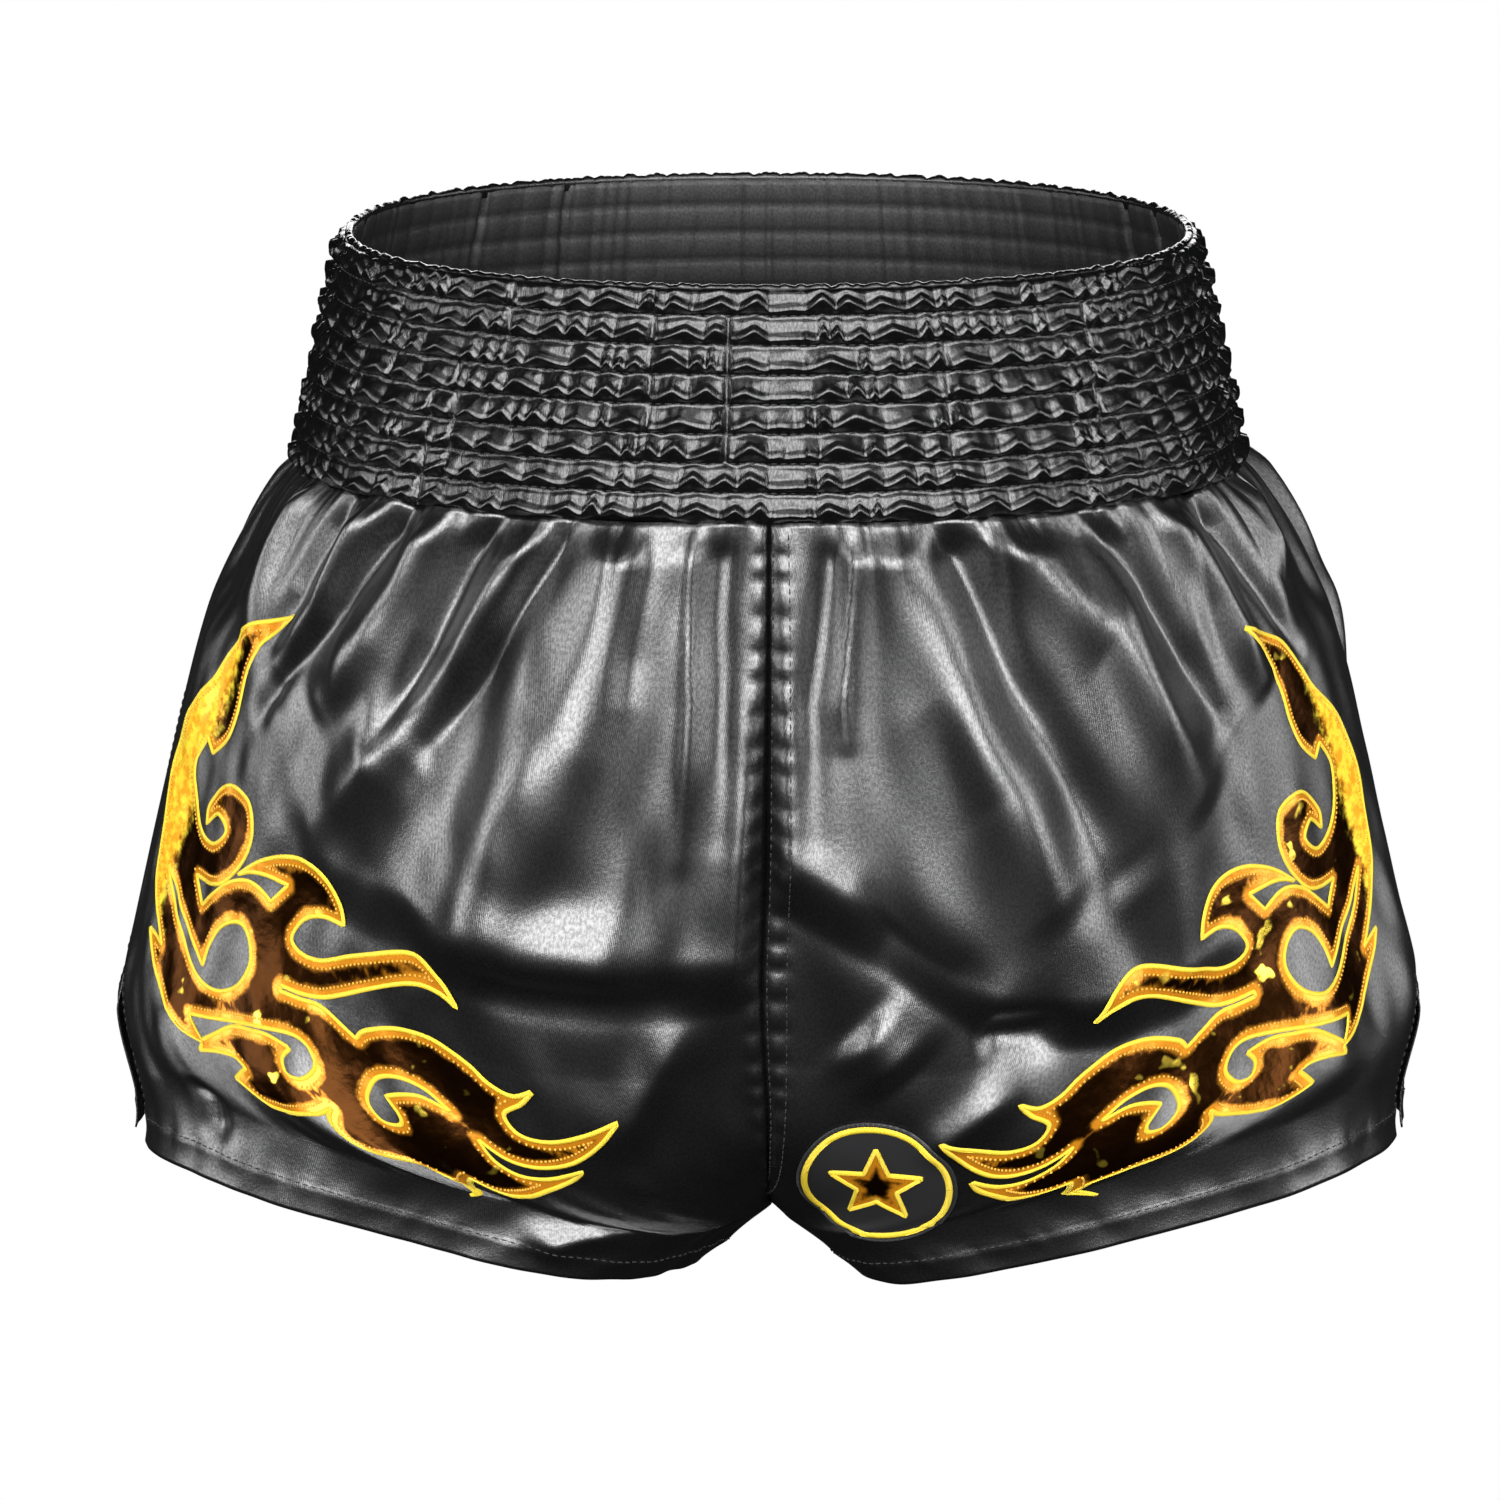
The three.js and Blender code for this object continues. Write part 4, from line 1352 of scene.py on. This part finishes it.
def dot_mesh(name, outlines, place):
    dots = []
    for outline in outlines:
        line = even_outline(outline, DOT_PITCH)
        for sign in (1, -1):
            dots.append(line + sign * DOT_INSET * inward_normals(line))
    dots = np.vstack(dots)
    kept = inside_outline(dots, outlines[0])
    for hole in outlines[1:]:
        kept &= ~inside_outline(dots, hole)
    kept &= edge_distance(dots, outlines) > DOT_INSET * 0.93
    dots = dots[kept]
    spots = place(dots, np.full(len(dots), 0.6))
    body = bmesh.new()
    for spot in spots:
        size = Matrix.Diagonal((0.62 * MM, 0.62 * MM, 0.40 * MM, 1))
        outward = Vector((spot[0], spot[1], 0)).to_track_quat("Z", "Y").to_matrix().to_4x4()
        matrix = Matrix.Translation(Vector(spot) * MM) @ outward @ size
        bmesh.ops.create_icosphere(body, subdivisions=1, radius=1.0, matrix=matrix)
    mesh = bpy.data.meshes.new(name)
    body.to_mesh(mesh)
    body.free()
    return mesh


# %% The two flames
flames = {}
for side, on_leg in (("right", right_leg), ("left", left_leg)):
    cloth = cloths[f"front_panel_{side}"]
    place = on_panel(cloth)
    outlines = [outline_of(FLAME_START, FLAME_STROKES, on_leg)]
    outlines += [outline_of(hole["start"], hole["strokes"], on_leg) for hole in FLAME_HOLES]
    sheet = cut_sheet(f"flame_foil_{side}", outlines, CELL)
    flat = flat_places(sheet)
    # from_edge places the foil's painted dark brown reflection and its painted orange edge
    set_attribute(sheet, "from_edge", edge_distance(flat, outlines))
    # the outer strands near the side seam, where the foil gets its painted bright yellow highlight
    set_attribute(sheet, "outer_strand_highlight", 1 - smooth_step(flat[:, 0] - 0.25 * (flat[:, 1] - 120), 40, 72))
    lay(sheet, place, FOIL_LIFT, side == "left")
    node = f"flame_applique_{side}"
    edging = edging_mesh(f"flame_edging_{side}", outlines, place, EDGE_WIDTH, 0.8, side == "left")
    flames[side] = [
        make_piece(sheet, foil, "gold_foil", [node]),
        make_piece(edging, edge_thread, "gold_foil"),
        make_piece(dot_mesh(f"flame_dots_{side}", outlines, place), dot_thread, "gold_foil"),
    ]
    print(side, "flame faces", [len(piece.data.polygons) for piece in flames[side]])

# %% [markdown]
# ## Round badge
# A plain round badge sits near the hem of the left leg: black twill, a satin-stitched ring and a star.

# %% Badge
BADGE_CENTRE = (41, 49)
BADGE_RADIUS, RING_RADIUS = 27.5, 25.2


def panel_place(from_centre, height):
    """s and t of the front panel's point at a distance from the centre and a height, by Newton's steps"""
    s = np.full(from_centre.shape, 0.85)
    t = 1 - height / WAIST_SEAM
    small = 0.001
    for _ in range(14):
        here = worn_point(s, t, True)
        by_side = (worn_point(s + small, t, True) - here) / small
        by_down = (worn_point(s, t + small, True) - here) / small
        miss_x, miss_z = -from_centre - here[:, 0], height - here[:, 2]
        area = by_side[:, 0] * by_down[:, 2] - by_down[:, 0] * by_side[:, 2]
        s = np.clip(s + (miss_x * by_down[:, 2] - by_down[:, 0] * miss_z) / area, 0.01, 0.99)
        t = np.clip(t + (by_side[:, 0] * miss_z - miss_x * by_side[:, 2]) / area, 0.01, 0.985)
    return s, t


def on_badge(flat, lift):
    s, t = panel_place(BADGE_CENTRE[0] + flat[:, 0], BADGE_CENTRE[1] + flat[:, 1])
    return cloths["front_panel_left"].at(s, t, lift)


def circle(radius, corners=96):
    angle = np.linspace(0, 2 * np.pi, corners, endpoint=False)
    return radius * np.stack([np.cos(angle), np.sin(angle)], axis=1)


def star(outer, inner):
    angle = np.pi / 2 + np.arange(10) * np.pi / 5
    radius = np.where(np.arange(10) % 2 == 0, outer, inner)
    corners = np.stack([np.cos(angle), np.sin(angle)], axis=1) * radius[:, None]
    shares = np.arange(6)[:, None] / 6
    return np.vstack([a * (1 - shares) + b * shares for a, b in zip(corners, np.roll(corners, -1, axis=0))])


STAR_RADII = (17.0, 7.2)
badge_sheet = lay(cut_sheet("badge_ground", [circle(BADGE_RADIUS)], 2.5), on_badge, 0.8, False)
star_sheet = cut_sheet("badge_star_foil", [star(*STAR_RADII)], 2.5)
# the star's foil gets the same painted dark brown reflection and painted orange edge from from_edge
set_attribute(star_sheet, "from_edge", edge_distance(flat_places(star_sheet), [star(*STAR_RADII)]))
lay(star_sheet, on_badge, 1.1, False)
ring_edging = edging_mesh("badge_ring_edging", [circle(RING_RADIUS)], on_badge, 2.6, 1.3, True)
rim_edging = edging_mesh("badge_rim_edging", [circle(BADGE_RADIUS)], on_badge, 1.0, 0.8, True)
star_edging = edging_mesh("badge_star_edging", [star(*STAR_RADII)], on_badge, 1.8, 1.5, True)
badge = [
    make_piece(badge_sheet, badge_twill, "badge_cloth", ["badge_patch"]),
    make_piece(ring_edging, edge_thread, "gold_thread", ["badge_ring"]),
    make_piece(rim_edging, black_thread, "badge_cloth"),
    make_piece(star_sheet, foil, "gold_thread", ["badge_star"]),
    make_piece(star_edging, edge_thread, "gold_thread"),
]
print("badge faces", [len(piece.data.polygons) for piece in badge])

# %% [markdown]
# ## The pieces of each panel
# The panels and the waistband were cut wider than they hang and then gathered. For each panel the pieces
# sewn on it are listed.

# %% Sheets
for name, panel in panels.items():
    face, _, side = name.split("_")
    with_pieces = [threads[f"hem_thread_{face}_{side}"], threads[f"vent_thread_{face}_{side}"]]
    if face == "front":
        with_pieces += flames[side]
    if name == "front_panel_left":
        with_pieces += badge
    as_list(with_pieces)

# %% [markdown]
# ## Studio
# The shorts float over a white sweep that only the camera sees, as in a shop picture, so the satin mirrors
# nothing but the lamps. A large soft lamp stands in front with a smaller one high above it, and there is one
# at each side and one behind, so that the cloth has broad highlights from every side.

# %% Camera
TARGET_HEIGHT = 0.192
CAMERA_DISTANCE = 4.0
CAMERA_RISE = math.radians(13)
camera_data = bpy.data.cameras.new("camera")
camera_data.lens = 266.7
camera_data.sensor_width = 36
camera_data.shift_x = -19 / 1500
camera_data.shift_y = -32.6 / 1500
camera = bpy.data.objects.new("camera", camera_data)
bpy.context.scene.collection.objects.link(camera)
target = Vector((0, BALANCE * MM, TARGET_HEIGHT))
away = Vector((0, -math.cos(CAMERA_RISE), math.sin(CAMERA_RISE)))
camera.location = target + away * CAMERA_DISTANCE
camera.rotation_euler = (-away).to_track_quat("-Z", "Y").to_euler()
bpy.context.scene.camera = camera


# %% Lamps
def lamp(name, place, size, brightness, aim=(0, 0, 0.17)):
    """A soft rectangular lamp of a given brightness, aimed at the shorts"""
    data = bpy.data.lights.new(name, "AREA")
    data.shape = "RECTANGLE"
    data.size, data.size_y = size
    data.energy = brightness * math.pi * size[0] * size[1]
    light = bpy.data.objects.new(name, data)
    light.location = place
    light.rotation_euler = (Vector(aim) - Vector(place)).to_track_quat("-Z", "Y").to_euler()
    light.visible_camera = False
    bpy.context.scene.collection.objects.link(light)


lamp("front lamp", (0.0, -1.7, 0.66), (2.3, 1.15), 7.5)
lamp("high front lamp", (0.0, -1.2, 1.7), (0.9, 0.4), 3.0)
lamp("left lamp", (-1.6, -0.4, 0.4), (0.8, 1.0), 5.0)
lamp("right lamp", (1.6, -0.4, 0.4), (0.8, 1.0), 5.0)
lamp("back lamp", (0.0, 1.9, 0.8), (1.5, 0.9), 6.0)

# %% Floor and surroundings
FLOOR_DROP = 0.35
floor_finish = Finish("white sweep")
floor_light = floor_finish.node("ShaderNodeEmission", {}, {"Color": (1, 1, 1, 1), "Strength": 1.0})
floor_finish.node("ShaderNodeOutputMaterial", {}, {"Surface": floor_light})
floor_body = bmesh.new()
bmesh.ops.create_grid(floor_body, x_segments=1, y_segments=1, size=40)
bmesh.ops.translate(floor_body, verts=floor_body.verts, vec=(0, 0, -FLOOR_DROP))
floor_mesh = bpy.data.meshes.new("floor")
floor_body.to_mesh(floor_mesh)
floor_body.free()
floor_mesh.materials.append(floor_finish.material)
floor = bpy.data.objects.new("floor", floor_mesh)
bpy.context.scene.collection.objects.link(floor)
floor.visible_glossy = False
floor.visible_diffuse = False
floor.visible_shadow = False
floor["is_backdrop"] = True

world = bpy.data.worlds.new("studio air")
world.use_nodes = True
world.node_tree.nodes["Background"].inputs["Color"].default_value = (1, 1, 1, 1)
world.node_tree.nodes["Background"].inputs["Strength"].default_value = 0.01
bpy.context.scene.world = world
bpy.context.scene.view_settings.view_transform = "Standard"

# %% [markdown]
# ## Size
# The box of the frame and the box of everything shown, side by side.

# %% The two boxes
boxes = {"cad": cad_box, "visual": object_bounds()}
{name: [list(corner) for corner in box] for name, box in boxes.items()}
